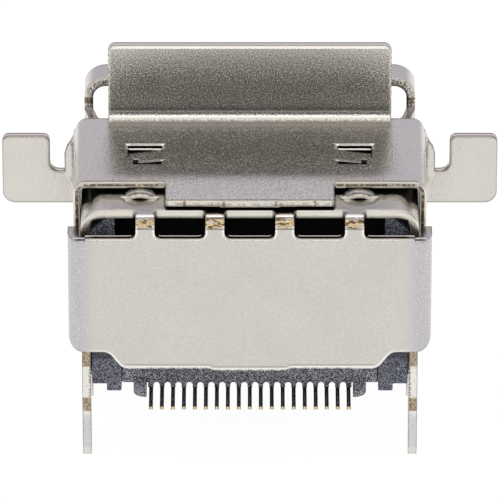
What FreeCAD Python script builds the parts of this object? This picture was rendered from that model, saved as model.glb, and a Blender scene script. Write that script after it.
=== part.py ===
"""Raised right-angle board socket for a digital video plug, in millimetres.

The board's surface is z = 0, the plug's mouth faces -y and the part is symmetrical about x = 0.
The origin is the middle of the housing's seat on the board.
"""
import FreeCAD
import Part
import math
import os

V = FreeCAD.Vector

# Cutting shapes run past what they cut by OVERRUN, and shapes that become one lap by LAP
OVERRUN = 1.00
LAP = 0.10
FAR = 30.00
SAME_PLACE = 1e-6

# Main shell, the inner folded sheet
SHELL_SHEET = 0.40
SHELL_WIDTH = 15.28
SHELL_TOP_Z = 9.75
SHELL_CORNER = 1.00
SHELL_DEPTH = 13.66
REAR_FACE_Y = 4.50
ROOF_REAR_EDGE = 0.79
CHANNEL_DEPTH = 7.20

# Mouth of the main shell
MOUTH_HEIGHT = 4.75
MOUTH_FLOOR_WIDTH = 10.60
MOUTH_SIDE_HEIGHT = 2.75
MOUTH_LOWER_BEND = 0.90
MOUTH_TUBE_DEPTH = 6.10
RING_DEPTH = 1.30
CORNER_WINDOW_LENGTH = 3.65
CORNER_WINDOW_WIDTH = 1.55
CORNER_WINDOW_DROP = 1.61
SEAM_GAP = 0.08
SEAM_KEY_LENGTH = 1.80
SEAM_KEY_WIDTH = 0.90
SEAM_KEY_FLARE = 0.25
MOUTH_STEP_ROUND = 0.15

# Spring fingers in the mouth
FINGER_SLOT = 0.28
FINGER_SLOT_ROUND = 0.12
FINGER_CREST_SHARE = 0.72
FINGER_TIP_SHARE = 0.55
ROOF_FINGER_X = 3.55
ROOF_FINGER_WIDTH = 2.10
ROOF_FINGER_LENGTH = 3.10
ROOF_FINGER_BOW = 0.42
FLOOR_FINGER_X = 2.75
FLOOR_FINGER_WIDTH = 1.90
FLOOR_FINGER_LENGTH = 3.30
FLOOR_FINGER_BOW = 0.34
SIDE_FINGER_HEIGHT = 1.10
SIDE_FINGER_LENGTH = 3.00
SIDE_FINGER_BOW = 0.28
SIDE_FINGER_CREST_SHARE = 0.55
SIDE_FINGER_TIP_SHARE = 0.60

# Rear plate with its bridges and wraps
PLATE_WIDTH = 16.46
PLATE_TOP_Z = 8.70
PLATE_SIDE_BOTTOM_Z = 2.69
PLATE_MIDDLE_BOTTOM_Z = 1.80
PLATE_TAB_DROP = 0.11
PLATE_TAB_WIDTH = 3.27
PLATE_TAB_RAMP = 0.22
PLATE_STEP_OUTER_X = 6.42
PLATE_STEP_INNER_X = 5.78
PLATE_STEP_BEND = 0.52
PLATE_TOP_ROUND = 0.15
WRAP_BEND = 0.80
WRAP_DEPTH = 2.10
WRAP_TOP_DROP = 0.12
WRAP_CORNER = 0.55
WRAP_LOWER_DRAFT = 0.25
WRAP_UPPER_DRAFT = 0.35
WRAP_TOP_ROUND = 0.30
BRIDGE_COUNT = 4
BRIDGE_WIDTH = 0.85
BRIDGE_BEND = 0.50
BRIDGE_PITCH = 3.145
BRIDGE_FILLET = 0.34
BRIDGE_ROOT_FILLET = 0.22
BRIDGE_LAP = 0.20

# Legs through the board
WALL_BOTTOM_Z = 0.32
LEG_BOTTOM_Z = -3.54
LEG_WIDTH = 1.50
LEG_TIP_WIDTH = 1.00
LEG_TIP_TAPER = 0.55
LEG_TIP_ROUND = 0.12
LEG_BARB_TOP_Z = -0.42
LEG_BARB_HEIGHT = 1.00
LEG_BARB_REACH = 0.12
LEG_BARB_RUN = 0.24
LEG_ROOT_FILLET = 0.35

# Eye-shaped dimples lanced in the main shell's roof
DIMPLE_X = 4.95
DIMPLE_DEPTH = 1.96
DIMPLE_LID_HALF_WIDTH = 0.72
DIMPLE_LID_RISE = 0.28
DIMPLE_LID_SHEET = 0.34
DIMPLE_HOLLOW_LENGTH = 0.45
DIMPLE_LIP_HALF_WIDTH = 0.91
DIMPLE_LIP_LENGTH = 0.73
DIMPLE_LIP_SINK = 0.16

# Outer shield, the thin folded sheet over the main shell
SHIELD_SHEET = 0.30
SHIELD_ROOF_GAP = 0.20
SHIELD_SIDE_GAP = 0.06
SHIELD_CORNER = 0.58
SHIELD_DEPTH = 8.00
SHIELD_SIDE_REAR = 2.41
SHIELD_TONGUE_REAR = 0.80
SHIELD_TONGUE_WIDTH = 7.62
SHIELD_TONGUE_STEP = 0.06
SHIELD_TONGUE_STEP_WIDTH = 2.70
SHIELD_TONGUE_ROUND = 0.16
SHIELD_WALL_BOTTOM_Z = 3.00
SHIELD_WALL_ROUND = 0.40
SHIELD_FRONT_ROUND = 0.45

# Flange and wings of the outer shield
FLANGE_WIDTH = 12.92
FLANGE_TOP_Z = 14.11
FLANGE_BEND = 0.50
FLANGE_ROUND = 0.36
WING_REACH = 11.34
WING_UPRIGHT_INNER_X = 9.15
WING_TOP_Z = 9.29
WING_NECK_TOP_Z = 7.42
WING_BOTTOM_Z = 5.73
WING_BEND = 0.18
WING_WALL = 0.20
WING_RELIEF = 0.48
WING_RELIEF_DROP = 0.20
WING_RELIEF_ROUND = 0.10
WING_ROUND = 0.32
WING_LOWER_ROUND = 0.60
WING_NECK_ROUND = 0.44

# Bead that stiffens the wing's bend: it swells beside the neck and fades up to the roof's corner
BEAD_REACH = 0.49
BEAD_LENGTH = 0.58
BEAD_LOW_Z = 6.42
BEAD_FULL_LOW_Z = 7.50
BEAD_FULL_HIGH_Z = 8.42
BEAD_LEAST = 0.012
BEAD_STEPS = 3

# Spring fingers lanced in the outer shield's roof
J_ROOT_X = 3.98
J_END_X = 5.55
J_REAR = 3.96
J_FRONT = 5.62
J_REAR_SLOT = 0.31
J_FRONT_SLOT = 0.37
J_END_GAP = 0.03
J_NOSE_REAR = 4.53
J_NOSE_GAP = 0.05
J_HOOK_INNER_X = 5.07
J_HOOK_OUTER_X = 5.30
J_SLOT_ROUND = 0.08
J_CLEARANCE = 0.03

# Catches that hold the outer shield on the main shell
CATCH_DEPTH = 5.30
CATCH_TOP_Z = 6.60
CATCH_LENGTH = 1.60
CATCH_HEIGHT = 0.80
CATCH_CLEARANCE = 0.10
CATCH_REACH = 0.28
CATCH_LIP = 0.15
CATCH_ROUND = 0.12

# Housing, the moulded insulator
HOUSING_CLEARANCE = 0.05
HOUSING_REAR = 0.95
HOUSING_BACK_WALL_REAR = 3.00
HOUSING_HOOD_REAR = 1.95
HOUSING_NOSE_LENGTH = 0.74
HOUSING_NOSE_CHAMFER = 0.50
FLANK_RIB_REAR = 1.60
FLANK_RIB_LENGTH = 4.00
FLANK_RIB_LOW_Z = 0.45
FLANK_RIB_HEIGHT = 0.60
FLANK_RIB_GAP = 0.01
MOUTH_BACK = 4.70
CHEEK_INNER_X = 6.10
CHEEK_CHAMFER = 0.75
COMB_POCKET_TOP_Z = 2.20
FOOT_OUTER_X = 6.52
FOOT_STEP_Z = 0.38
FOOT_ROUND = 0.08
COMB_LEDGE_REAR = 1.70
COMB_LEDGE_WIDTH = 0.35
SEAT_POCKET_ROUND = 0.30
SEAT_POCKET_DEPTH = 0.50
SEAT_POCKET_WIDTH = 2.40
SEAT_POCKET_LENGTH = 3.90
SEAT_PAD_HALF_WIDTH = 2.60
TONGUE_WIDTH = 11.20
TONGUE_ABOVE_MIDDLE = 0.075
TONGUE_THICKNESS = 1.20
TONGUE_LENGTH = 7.90
TONGUE_NOSE = 0.35
TONGUE_END_ROUND = 0.30

# Tail comb, the moulded bar that spaces the tails
COMB_CLEARANCE = 0.05
COMB_HALF = 5.80
COMB_BOTTOM_Z = 0.45
COMB_LENGTH = 1.95
ARCH_WIDTH = 0.28
ARCH_DEPTH = 0.36
ARCH_CHAMFER = 0.09
GUARD_INNER_X = 4.70
GUARD_WIDTH = 0.60
GUARD_REACH = 0.55
GUARD_ROUND = 0.50
GUARD_INNER_ROUND = 0.05
GUARD_TOE_Z = 0.22
GUARD_TOP_Z = 0.80

# Contacts
CONTACT_COUNT = 19
CONTACT_PITCH = 0.50
CONTACT_SHEET = 0.15
CONTACT_BEAM_WIDTH = 0.30
CONTACT_TAIL_WIDTH = 0.18
CONTACT_PROUD = 0.08
CONTACT_BEND = 0.15
CONTACT_NECK = 0.10
CONTACT_TIP_GAP = 0.45
CONTACT_CLEARANCE = 0.02
UPPER_ROW_REAR = 1.50
LOWER_ROW_REAR = 2.30
TAIL_REACH = 0.64

# Places worked out from the sizes above
SHELL_HALF = SHELL_WIDTH / 2
SHELL_INNER_HALF = SHELL_HALF - SHELL_SHEET
SHELL_ROOF_UNDER_Z = SHELL_TOP_Z - SHELL_SHEET
MOUTH_FLOOR_Z = SHELL_ROOF_UNDER_Z - MOUTH_HEIGHT
MOUTH_BOTTOM_Z = MOUTH_FLOOR_Z - SHELL_SHEET
MOUTH_BEND_Z = SHELL_TOP_Z - MOUTH_SIDE_HEIGHT
TONGUE_CENTRE_Z = MOUTH_FLOOR_Z + MOUTH_HEIGHT / 2 + TONGUE_ABOVE_MIDDLE
WINDOW_FRONT = SHELL_DEPTH - RING_DEPTH
WINDOW_REAR = WINDOW_FRONT - CORNER_WINDOW_LENGTH
SHIELD_HALF = SHELL_HALF + SHIELD_SIDE_GAP + SHIELD_SHEET
SHIELD_TOP_Z = SHELL_TOP_Z + SHIELD_ROOF_GAP + SHIELD_SHEET
TUBE_REAR = SHELL_DEPTH - MOUTH_TUBE_DEPTH
HOUSING_HALF = SHELL_INNER_HALF - HOUSING_CLEARANCE
HOUSING_TOP_Z = SHELL_ROOF_UNDER_Z - HOUSING_CLEARANCE
HOUSING_FRONT = TUBE_REAR + HOUSING_NOSE_LENGTH
COMB_POCKET_HALF = COMB_HALF + COMB_CLEARANCE
COMB_LOW_Z = CONTACT_SHEET + CONTACT_CLEARANCE
BEAD_TOP_Z = SHIELD_TOP_Z - SHIELD_CORNER
SHIELD_FRONT = SHIELD_DEPTH + SHIELD_SHEET


def depth(distance):
    """The y place of a distance in front of the rear plate's outer face."""
    return REAR_FACE_Y - distance


def point_xz(x, z):
    return V(x, 0, z)


def point_yz(front, z):
    """A point of a side view: its distance in front of the rear face, and its height."""
    return V(0, depth(front), z)


def point_xy(x, front):
    return V(x, depth(front), 0)


def outline(corners, place):
    """A closed wire through (u, w, radius) corners, each rounded by its own radius."""
    count = len(corners)
    points = [place(u, w) for u, w, _ in corners]
    starts, middles, ends = [], [], []
    for i, (_, _, radius) in enumerate(corners):
        here = points[i]
        back = (points[i - 1] - here).normalize()
        ahead = (points[(i + 1) % count] - here).normalize()
        if radius <= 0:
            starts.append(here)
            middles.append(None)
            ends.append(here)
            continue
        half_angle = back.getAngle(ahead) / 2
        trim = radius / math.tan(half_angle)
        bisector = (back + ahead).normalize()
        centre = here + bisector * (radius / math.sin(half_angle))
        starts.append(here + back * trim)
        middles.append(centre - bisector * radius)
        ends.append(here + ahead * trim)
    edges = []
    for i in range(count):
        if middles[i] is not None:
            edges.append(Part.Arc(starts[i], middles[i], ends[i]).toShape())
        following = starts[(i + 1) % count]
        if ends[i].distanceToPoint(following) > SAME_PLACE:
            edges.append(Part.LineSegment(ends[i], following).toShape())
    return Part.Wire(edges)


def prism_y(corners, rear, front):
    """An x-z outline swept from one distance in front of the rear face to another."""
    face = Part.Face(outline(corners, point_xz))
    face.translate(V(0, depth(rear), 0))
    return face.extrude(V(0, rear - front, 0))


def prism_x(corners, x_low, x_high):
    """A side-view outline swept across x."""
    face = Part.Face(outline(corners, point_yz))
    face.translate(V(x_low, 0, 0))
    return face.extrude(V(x_high - x_low, 0, 0))


def prism_z(corners, z_low, z_high):
    """A plan outline swept up z."""
    face = Part.Face(outline(corners, point_xy))
    face.translate(V(0, 0, z_low))
    return face.extrude(V(0, 0, z_high - z_low))


def block(x_low, x_high, rear, front, z_low, z_high):
    low = V(x_low, depth(front), z_low)
    return Part.makeBox(x_high - x_low, front - rear, z_high - z_low, low)


def mirrored(shape):
    return shape.mirror(V(0, 0, 0), V(1, 0, 0))


def both_sides(shape):
    return [shape, mirrored(shape)]


def fuse_all(first, others):
    return first.multiFuse(others).removeSplitter()


def mouth_corners(inset):
    """The mouth's section: wide at the roof, with its lower corners drawn in."""
    half = SHELL_HALF - inset
    floor_half = MOUTH_FLOOR_WIDTH / 2
    top = SHELL_TOP_Z - inset
    bottom = MOUTH_BOTTOM_Z + inset
    slope = math.atan2(SHELL_HALF - floor_half, MOUTH_BEND_Z - MOUTH_BOTTOM_Z)
    side_z = MOUTH_BEND_Z + inset * math.tan(slope / 2)
    floor_x = floor_half - inset * math.tan((math.pi / 2 - slope) / 2)
    corner = SHELL_CORNER - inset
    bend = MOUTH_LOWER_BEND - inset
    return [
        (-half, top, corner),
        (half, top, corner),
        (half, side_z, bend),
        (floor_x, bottom, bend),
        (-floor_x, bottom, bend),
        (-half, side_z, bend),
    ]


def mouth_tube():
    tube = prism_y(mouth_corners(0), TUBE_REAR, SHELL_DEPTH)
    return tube.cut(prism_y(mouth_corners(SHELL_SHEET), TUBE_REAR, SHELL_DEPTH))


def channel_section(inset):
    half = SHELL_HALF - inset
    corner = SHELL_CORNER - inset
    low = LEG_BOTTOM_Z - inset
    return [
        (-half, low, 0),
        (-half, SHELL_TOP_Z - inset, corner),
        (half, SHELL_TOP_Z - inset, corner),
        (half, low, 0),
    ]


def leg_corners(rear):
    """One leg in side view, from the wall's lower edge down, listed from its rear top corner."""
    middle = rear + LEG_WIDTH / 2
    tip = LEG_TIP_WIDTH / 2
    taper_z = LEG_BOTTOM_Z + LEG_TIP_TAPER
    barb_z = LEG_BARB_TOP_Z - LEG_BARB_HEIGHT
    return [
        (rear, LEG_BARB_TOP_Z, 0),
        (rear - LEG_BARB_REACH, LEG_BARB_TOP_Z - LEG_BARB_REACH, 0),
        (rear - LEG_BARB_REACH, barb_z + LEG_BARB_RUN, 0),
        (rear, barb_z, 0),
        (rear, taper_z, 0),
        (middle - tip, LEG_BOTTOM_Z, LEG_TIP_ROUND),
        (middle + tip, LEG_BOTTOM_Z, LEG_TIP_ROUND),
        (rear + LEG_WIDTH, taper_z, 0),
    ]


def side_mask():
    """The main shell's side walls in side view, with a leg at each end."""
    top = SHELL_TOP_Z + OVERRUN
    front_leg_rear = CHANNEL_DEPTH - LEG_WIDTH
    corners = [(TUBE_REAR, top, 0), (ROOF_REAR_EDGE, top, 0)]
    corners += leg_corners(ROOF_REAR_EDGE)
    corners += [
        (ROOF_REAR_EDGE + LEG_WIDTH, WALL_BOTTOM_Z, LEG_ROOT_FILLET),
        (front_leg_rear, WALL_BOTTOM_Z, LEG_ROOT_FILLET),
    ]
    corners += leg_corners(front_leg_rear)
    corners += [
        (CHANNEL_DEPTH, MOUTH_BEND_Z, MOUTH_STEP_ROUND),
        (TUBE_REAR, MOUTH_BEND_Z, MOUTH_STEP_ROUND),
    ]
    return prism_x(corners, -FAR, FAR)


def channel():
    """The roof and the side walls behind the mouth, with the legs."""
    folded = prism_y(channel_section(0), ROOF_REAR_EDGE, TUBE_REAR)
    folded = folded.cut(prism_y(channel_section(SHELL_SHEET), ROOF_REAR_EDGE, TUBE_REAR))
    return folded.common(side_mask())


def bowed_strip(length, bow, sheet, root_front, level, side):
    """A side-view strip that starts level at its root, bows away by bow and curls at its tip."""
    tip = root_front + length
    crest = root_front + length * FINGER_CREST_SHARE
    lift = bow * FINGER_TIP_SHARE
    near = [
        V(0, depth(root_front), level),
        V(0, depth(crest), level + side * bow),
        V(0, depth(tip), level + side * lift),
    ]
    far = [p + V(0, 0, -side * sheet) for p in near]
    edges = [
        Part.Arc(near[0], near[1], near[2]).toShape(),
        Part.LineSegment(near[2], far[2]).toShape(),
        Part.Arc(far[2], far[1], far[0]).toShape(),
        Part.LineSegment(far[0], near[0]).toShape(),
    ]
    return Part.Face(Part.Wire(edges))


def roof_finger(x):
    """A spring finger of the mouth's roof, bowed down into the mouth."""
    face = bowed_strip(ROOF_FINGER_LENGTH, ROOF_FINGER_BOW, SHELL_SHEET, WINDOW_REAR,
                       SHELL_ROOF_UNDER_Z, -1)
    face.translate(V(x - ROOF_FINGER_WIDTH / 2, 0, 0))
    return face.extrude(V(ROOF_FINGER_WIDTH, 0, 0))


def floor_finger(x):
    """A spring finger of the mouth's floor, bowed up into the mouth."""
    face = bowed_strip(FLOOR_FINGER_LENGTH, FLOOR_FINGER_BOW, SHELL_SHEET, WINDOW_REAR,
                       MOUTH_FLOOR_Z, 1)
    face.translate(V(x - FLOOR_FINGER_WIDTH / 2, 0, 0))
    return face.extrude(V(FLOOR_FINGER_WIDTH, 0, 0))


def finger_slot(x, width, length, z_low, z_high):
    half = width / 2 + FINGER_SLOT
    front = WINDOW_REAR + length + FINGER_SLOT
    corners = [
        (x - half, WINDOW_REAR, FINGER_SLOT_ROUND),
        (x - half, front, 0),
        (x + half, front, 0),
        (x + half, WINDOW_REAR, FINGER_SLOT_ROUND),
    ]
    return prism_z(corners, z_low, z_high)


def side_finger():
    """A spring finger of the mouth's side, rooted at the ring and bowed inward."""
    window_z = SHELL_TOP_Z - CORNER_WINDOW_DROP
    root = WINDOW_FRONT
    middle = root - SIDE_FINGER_LENGTH * SIDE_FINGER_CREST_SHARE
    tip = root - SIDE_FINGER_LENGTH
    outer = [
        V(SHELL_HALF, depth(root), 0),
        V(SHELL_HALF - SIDE_FINGER_BOW, depth(middle), 0),
        V(SHELL_HALF - SIDE_FINGER_BOW * SIDE_FINGER_TIP_SHARE, depth(tip), 0),
    ]
    inner = [p - V(SHELL_SHEET, 0, 0) for p in outer]
    edges = [
        Part.Arc(outer[0], outer[1], outer[2]).toShape(),
        Part.LineSegment(outer[2], inner[2]).toShape(),
        Part.Arc(inner[2], inner[1], inner[0]).toShape(),
        Part.LineSegment(inner[0], outer[0]).toShape(),
    ]
    face = Part.Face(Part.Wire(edges))
    face.translate(V(0, 0, window_z - SIDE_FINGER_HEIGHT))
    return face.extrude(V(0, 0, SIDE_FINGER_HEIGHT))


def corner_window():
    """The opening behind the ring: it takes the roof's corner and the top of the side wall."""
    inner_x = SHELL_HALF - CORNER_WINDOW_WIDTH
    window_z = SHELL_TOP_Z - CORNER_WINDOW_DROP
    finger_bottom = window_z - SIDE_FINGER_HEIGHT - FINGER_SLOT
    finger_rear = WINDOW_FRONT - SIDE_FINGER_LENGTH - FINGER_SLOT
    high = SHELL_TOP_Z + OVERRUN
    upper = block(inner_x, FAR, WINDOW_REAR, WINDOW_FRONT, window_z, high)
    around_finger = block(SHELL_INNER_HALF - SIDE_FINGER_BOW, FAR, finger_rear, WINDOW_FRONT,
                          finger_bottom, high)
    return upper.fuse(around_finger)


def seam():
    """The butt seam along the mouth's floor, with its dovetail key."""
    middle = SHELL_DEPTH - MOUTH_TUBE_DEPTH / 2
    low = MOUTH_BOTTOM_Z - OVERRUN
    high = MOUTH_FLOOR_Z + OVERRUN
    half_gap = SEAM_GAP / 2
    half_key = SEAM_KEY_LENGTH / 2

    def key(grow):
        base = half_key - SEAM_KEY_FLARE + grow
        end = half_key + grow
        return prism_z([
            (-half_gap, middle - base, 0),
            (SEAM_KEY_WIDTH + grow, middle - end, 0),
            (SEAM_KEY_WIDTH + grow, middle + end, 0),
            (-half_gap, middle + base, 0),
        ], low, high)

    line = block(-half_gap, half_gap, TUBE_REAR, SHELL_DEPTH, low, high)
    return line.cut(key(-half_gap)).fuse(key(half_gap).cut(key(-half_gap)))


def bridge_places():
    return [BRIDGE_PITCH * (i - (BRIDGE_COUNT - 1) / 2) for i in range(BRIDGE_COUNT)]


def bridges():
    """The narrow strips of the sheet bent over from the roof to the rear plate."""
    inner = BRIDGE_BEND - SHELL_SHEET
    low = PLATE_TOP_Z - BRIDGE_LAP
    front = ROOF_REAR_EDGE + BRIDGE_LAP
    reach = bridge_places()[-1] + BRIDGE_WIDTH / 2 + BRIDGE_ROOT_FILLET
    bent = prism_x([
        (front, SHELL_TOP_Z, 0),
        (0, SHELL_TOP_Z, BRIDGE_BEND),
        (0, low, 0),
        (SHELL_SHEET, low, 0),
        (SHELL_SHEET, SHELL_ROOF_UNDER_Z, inner),
        (front, SHELL_ROOF_UNDER_Z, 0),
    ], -reach, reach)
    plan = [(-FAR, front, 0), (-FAR, ROOF_REAR_EDGE, 0)]
    for x in bridge_places():
        left = x - BRIDGE_WIDTH / 2
        right = x + BRIDGE_WIDTH / 2
        plan += [
            (left, ROOF_REAR_EDGE, BRIDGE_ROOT_FILLET),
            (left, -OVERRUN, 0),
            (right, -OVERRUN, 0),
            (right, ROOF_REAR_EDGE, BRIDGE_ROOT_FILLET),
        ]
    plan += [(FAR, ROOF_REAR_EDGE, 0), (FAR, front, 0)]
    return bent.common(prism_z(plan, low, SHELL_TOP_Z + OVERRUN))


def plate_mask():
    """The rear plate's front view: stepped lower edge and rounded windows between the bridges."""
    half = PLATE_WIDTH / 2
    tab = PLATE_TAB_WIDTH / 2
    low = PLATE_MIDDLE_BOTTOM_Z
    right = [
        (tab, low - PLATE_TAB_DROP, 0),
        (tab + PLATE_TAB_RAMP, low, 0),
        (PLATE_STEP_INNER_X, low, PLATE_STEP_BEND),
        (PLATE_STEP_OUTER_X, PLATE_SIDE_BOTTOM_Z, PLATE_STEP_BEND),
        (half, PLATE_SIDE_BOTTOM_Z, WRAP_CORNER),
        (half, PLATE_TOP_Z, PLATE_TOP_ROUND),
    ]
    left = [(-x, z, r) for x, z, r in reversed(right)]
    upper = []
    for x in reversed(bridge_places()):
        edge = BRIDGE_WIDTH / 2
        upper += [
            (x + edge, PLATE_TOP_Z, BRIDGE_FILLET),
            (x + edge, SHELL_TOP_Z, 0),
            (x - edge, SHELL_TOP_Z, 0),
            (x - edge, PLATE_TOP_Z, BRIDGE_FILLET),
        ]
    return prism_y(right + upper + left, -OVERRUN, WRAP_DEPTH + OVERRUN)


def wrap_mask():
    """The rear plate's side view, which rounds the wraps' free corners."""
    top = PLATE_TOP_Z - WRAP_TOP_DROP
    low = PLATE_SIDE_BOTTOM_Z
    below = PLATE_MIDDLE_BOTTOM_Z - OVERRUN
    wraps = prism_x([
        (-OVERRUN, top, 0),
        (-OVERRUN, below, 0),
        (SHELL_SHEET, below, 0),
        (SHELL_SHEET, low, 0),
        (WRAP_DEPTH, low + WRAP_LOWER_DRAFT, WRAP_CORNER),
        (WRAP_DEPTH, top - WRAP_UPPER_DRAFT, WRAP_CORNER),
        (WRAP_BEND, top, WRAP_TOP_ROUND),
    ], -FAR, FAR)
    half_flat = PLATE_WIDTH / 2 - WRAP_BEND
    flat = block(-half_flat, half_flat, -OVERRUN, SHELL_SHEET + LAP, below, SHELL_TOP_Z + OVERRUN)
    return wraps.fuse(flat)


def rear_plate():
    half = PLATE_WIDTH / 2
    low = PLATE_MIDDLE_BOTTOM_Z - OVERRUN

    def folded(inset):
        bend = WRAP_BEND - inset
        return prism_z([
            (-half + inset, WRAP_DEPTH, 0),
            (-half + inset, inset, bend),
            (half - inset, inset, bend),
            (half - inset, WRAP_DEPTH, 0),
        ], low, SHELL_TOP_Z)

    wrapped = folded(0).cut(folded(SHELL_SHEET))
    below_bend = block(-FAR, FAR, -OVERRUN, WRAP_DEPTH + OVERRUN, low, SHELL_TOP_Z - BRIDGE_BEND)
    return wrapped.common(plate_mask()).common(wrap_mask()).common(below_bend)


def arch_radius(half_width, height):
    """The radius of a round arch of that half width and height."""
    return (half_width ** 2 + height ** 2) / (2 * height)


def dimple_lid():
    """The front lid: a ball's cap that stands on the roof ahead of the cut."""
    radius = arch_radius(DIMPLE_LID_HALF_WIDTH, DIMPLE_LID_RISE)
    centre = V(DIMPLE_X, depth(DIMPLE_DEPTH), SHELL_TOP_Z + DIMPLE_LID_RISE - radius)
    reach = radius + OVERRUN
    above = block(DIMPLE_X - reach, DIMPLE_X + reach, DIMPLE_DEPTH, DIMPLE_DEPTH + reach,
                  SHELL_ROOF_UNDER_Z, SHELL_TOP_Z + OVERRUN)
    return Part.makeSphere(radius, centre).common(above)


def dimple_hollow():
    """The arched hollow under the front lid, open at the cut."""
    peak = SHELL_TOP_Z + DIMPLE_LID_RISE - DIMPLE_LID_SHEET
    radius = arch_radius(DIMPLE_LID_HALF_WIDTH, peak - SHELL_ROOF_UNDER_Z)
    end = V(DIMPLE_X, depth(DIMPLE_DEPTH + DIMPLE_HOLLOW_LENGTH), peak - radius)
    return Part.makeCylinder(radius, DIMPLE_HOLLOW_LENGTH, end, V(0, 1, 0))


def dimple_lip():
    """What the rear lip's dip takes from the roof: a ball that dips in behind the cut."""
    ahead = (DIMPLE_LIP_HALF_WIDTH ** 2 - DIMPLE_LIP_LENGTH ** 2) / (2 * DIMPLE_LIP_LENGTH)
    radius = arch_radius(DIMPLE_LIP_LENGTH + ahead, DIMPLE_LIP_SINK)
    centre = V(DIMPLE_X, depth(DIMPLE_DEPTH + ahead), SHELL_TOP_Z - DIMPLE_LIP_SINK + radius)
    reach = DIMPLE_LIP_HALF_WIDTH + OVERRUN
    behind = block(DIMPLE_X - reach, DIMPLE_X + reach, DIMPLE_DEPTH - reach, DIMPLE_DEPTH,
                   SHELL_ROOF_UNDER_Z, SHELL_TOP_Z + OVERRUN)
    return Part.makeSphere(radius, centre).common(behind)


def catch_wedge():
    """A small barb pressed out of the main shell's side wall, square at its top."""
    reach = SHELL_HALF + CATCH_REACH
    low = CATCH_TOP_Z - CATCH_HEIGHT
    return prism_y([
        (SHELL_HALF - LAP, low, 0),
        (SHELL_HALF, low, 0),
        (reach, CATCH_TOP_Z - CATCH_LIP, 0),
        (reach, CATCH_TOP_Z, 0),
        (SHELL_HALF - LAP, CATCH_TOP_Z, 0),
    ], CATCH_DEPTH - CATCH_LENGTH / 2, CATCH_DEPTH + CATCH_LENGTH / 2)


def inner_shell():
    """The whole main shell: one folded sheet."""
    folded = channel().fuse(mouth_tube())
    roof_low = SHELL_ROOF_UNDER_Z - OVERRUN
    roof_high = SHELL_TOP_Z + OVERRUN
    floor_low = MOUTH_BOTTOM_Z - OVERRUN
    floor_high = MOUTH_FLOOR_Z + OVERRUN
    cuts = both_sides(corner_window()) + [seam()]
    for x in (-ROOF_FINGER_X, ROOF_FINGER_X):
        cuts.append(finger_slot(x, ROOF_FINGER_WIDTH, ROOF_FINGER_LENGTH, roof_low, roof_high))
    for x in (-FLOOR_FINGER_X, FLOOR_FINGER_X):
        cuts.append(finger_slot(x, FLOOR_FINGER_WIDTH, FLOOR_FINGER_LENGTH, floor_low, floor_high))
    shell = folded.cut(cuts)
    added = [rear_plate(), bridges()]
    added += both_sides(side_finger()) + both_sides(catch_wedge()) + both_sides(dimple_lid())
    added += [roof_finger(x) for x in (-ROOF_FINGER_X, ROOF_FINGER_X)]
    added += [floor_finger(x) for x in (-FLOOR_FINGER_X, FLOOR_FINGER_X)]
    shell = fuse_all(shell, added)
    return shell.cut(both_sides(dimple_hollow()) + both_sides(dimple_lip())).removeSplitter()


def shield_section(inset):
    half = SHIELD_HALF - inset
    corner = SHIELD_CORNER - inset
    return [
        (-half, SHIELD_WALL_BOTTOM_Z - inset, 0),
        (-half, SHIELD_TOP_Z - inset, corner),
        (half, SHIELD_TOP_Z - inset, corner),
        (half, SHIELD_WALL_BOTTOM_Z - inset, 0),
    ]


def shield_plan_mask():
    """The shield's plan: the middle tongue reaches further back than the sides."""
    tongue = SHIELD_TONGUE_WIDTH / 2
    step = SHIELD_TONGUE_STEP_WIDTH / 2
    right = [
        (step, SHIELD_TONGUE_REAR - SHIELD_TONGUE_STEP, 0),
        (step, SHIELD_TONGUE_REAR, 0),
        (tongue, SHIELD_TONGUE_REAR, SHIELD_TONGUE_ROUND),
        (tongue, SHIELD_SIDE_REAR, SHIELD_TONGUE_ROUND),
        (FAR, SHIELD_SIDE_REAR, 0),
        (FAR, SHIELD_DEPTH, 0),
    ]
    left = [(-x, y, r) for x, y, r in reversed(right)]
    return prism_z(right + left, SHIELD_WALL_BOTTOM_Z - OVERRUN, SHIELD_TOP_Z + OVERRUN)


def shield_body():
    """The shield's roof and walls, with a relief notch below each wing."""
    folded = prism_y(shield_section(0), 0, SHIELD_DEPTH)
    folded = folded.cut(prism_y(shield_section(SHIELD_SHEET), 0, SHIELD_DEPTH))
    folded = folded.common(shield_plan_mask())
    high = SHIELD_TOP_Z + OVERRUN
    relief_front = SHIELD_DEPTH - WING_RELIEF
    relief_top = WING_BOTTOM_Z - WING_RELIEF_DROP
    side_view = prism_x([
        (0, high, 0),
        (0, BEAD_TOP_Z, 0),
        (SHIELD_SIDE_REAR, BEAD_TOP_Z, 0),
        (SHIELD_SIDE_REAR, SHIELD_WALL_BOTTOM_Z, SHIELD_WALL_ROUND),
        (relief_front, SHIELD_WALL_BOTTOM_Z, SHIELD_WALL_ROUND),
        (relief_front, relief_top, WING_RELIEF_ROUND),
        (SHIELD_DEPTH, relief_top, 0),
        (SHIELD_DEPTH, high, 0),
    ], -FAR, FAR)
    return folded.common(side_view)


def flange():
    """The tall flange bent up from the roof's front edge."""
    under = SHIELD_TOP_Z - SHIELD_SHEET
    root = SHIELD_DEPTH - FLANGE_BEND - LAP
    half = FLANGE_WIDTH / 2
    bent = prism_x([
        (root, SHIELD_TOP_Z, 0),
        (SHIELD_DEPTH, SHIELD_TOP_Z, FLANGE_BEND),
        (SHIELD_DEPTH, FLANGE_TOP_Z, 0),
        (SHIELD_FRONT, FLANGE_TOP_Z, 0),
        (SHIELD_FRONT, under, FLANGE_BEND + SHIELD_SHEET),
        (root, under, 0),
    ], -half, half)
    front_view = prism_y([
        (-half, under - OVERRUN, 0),
        (-half, FLANGE_TOP_Z, FLANGE_ROUND),
        (half, FLANGE_TOP_Z, FLANGE_ROUND),
        (half, under - OVERRUN, 0),
    ], root - OVERRUN, SHIELD_FRONT + OVERRUN)
    return bent.common(front_view)


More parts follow.
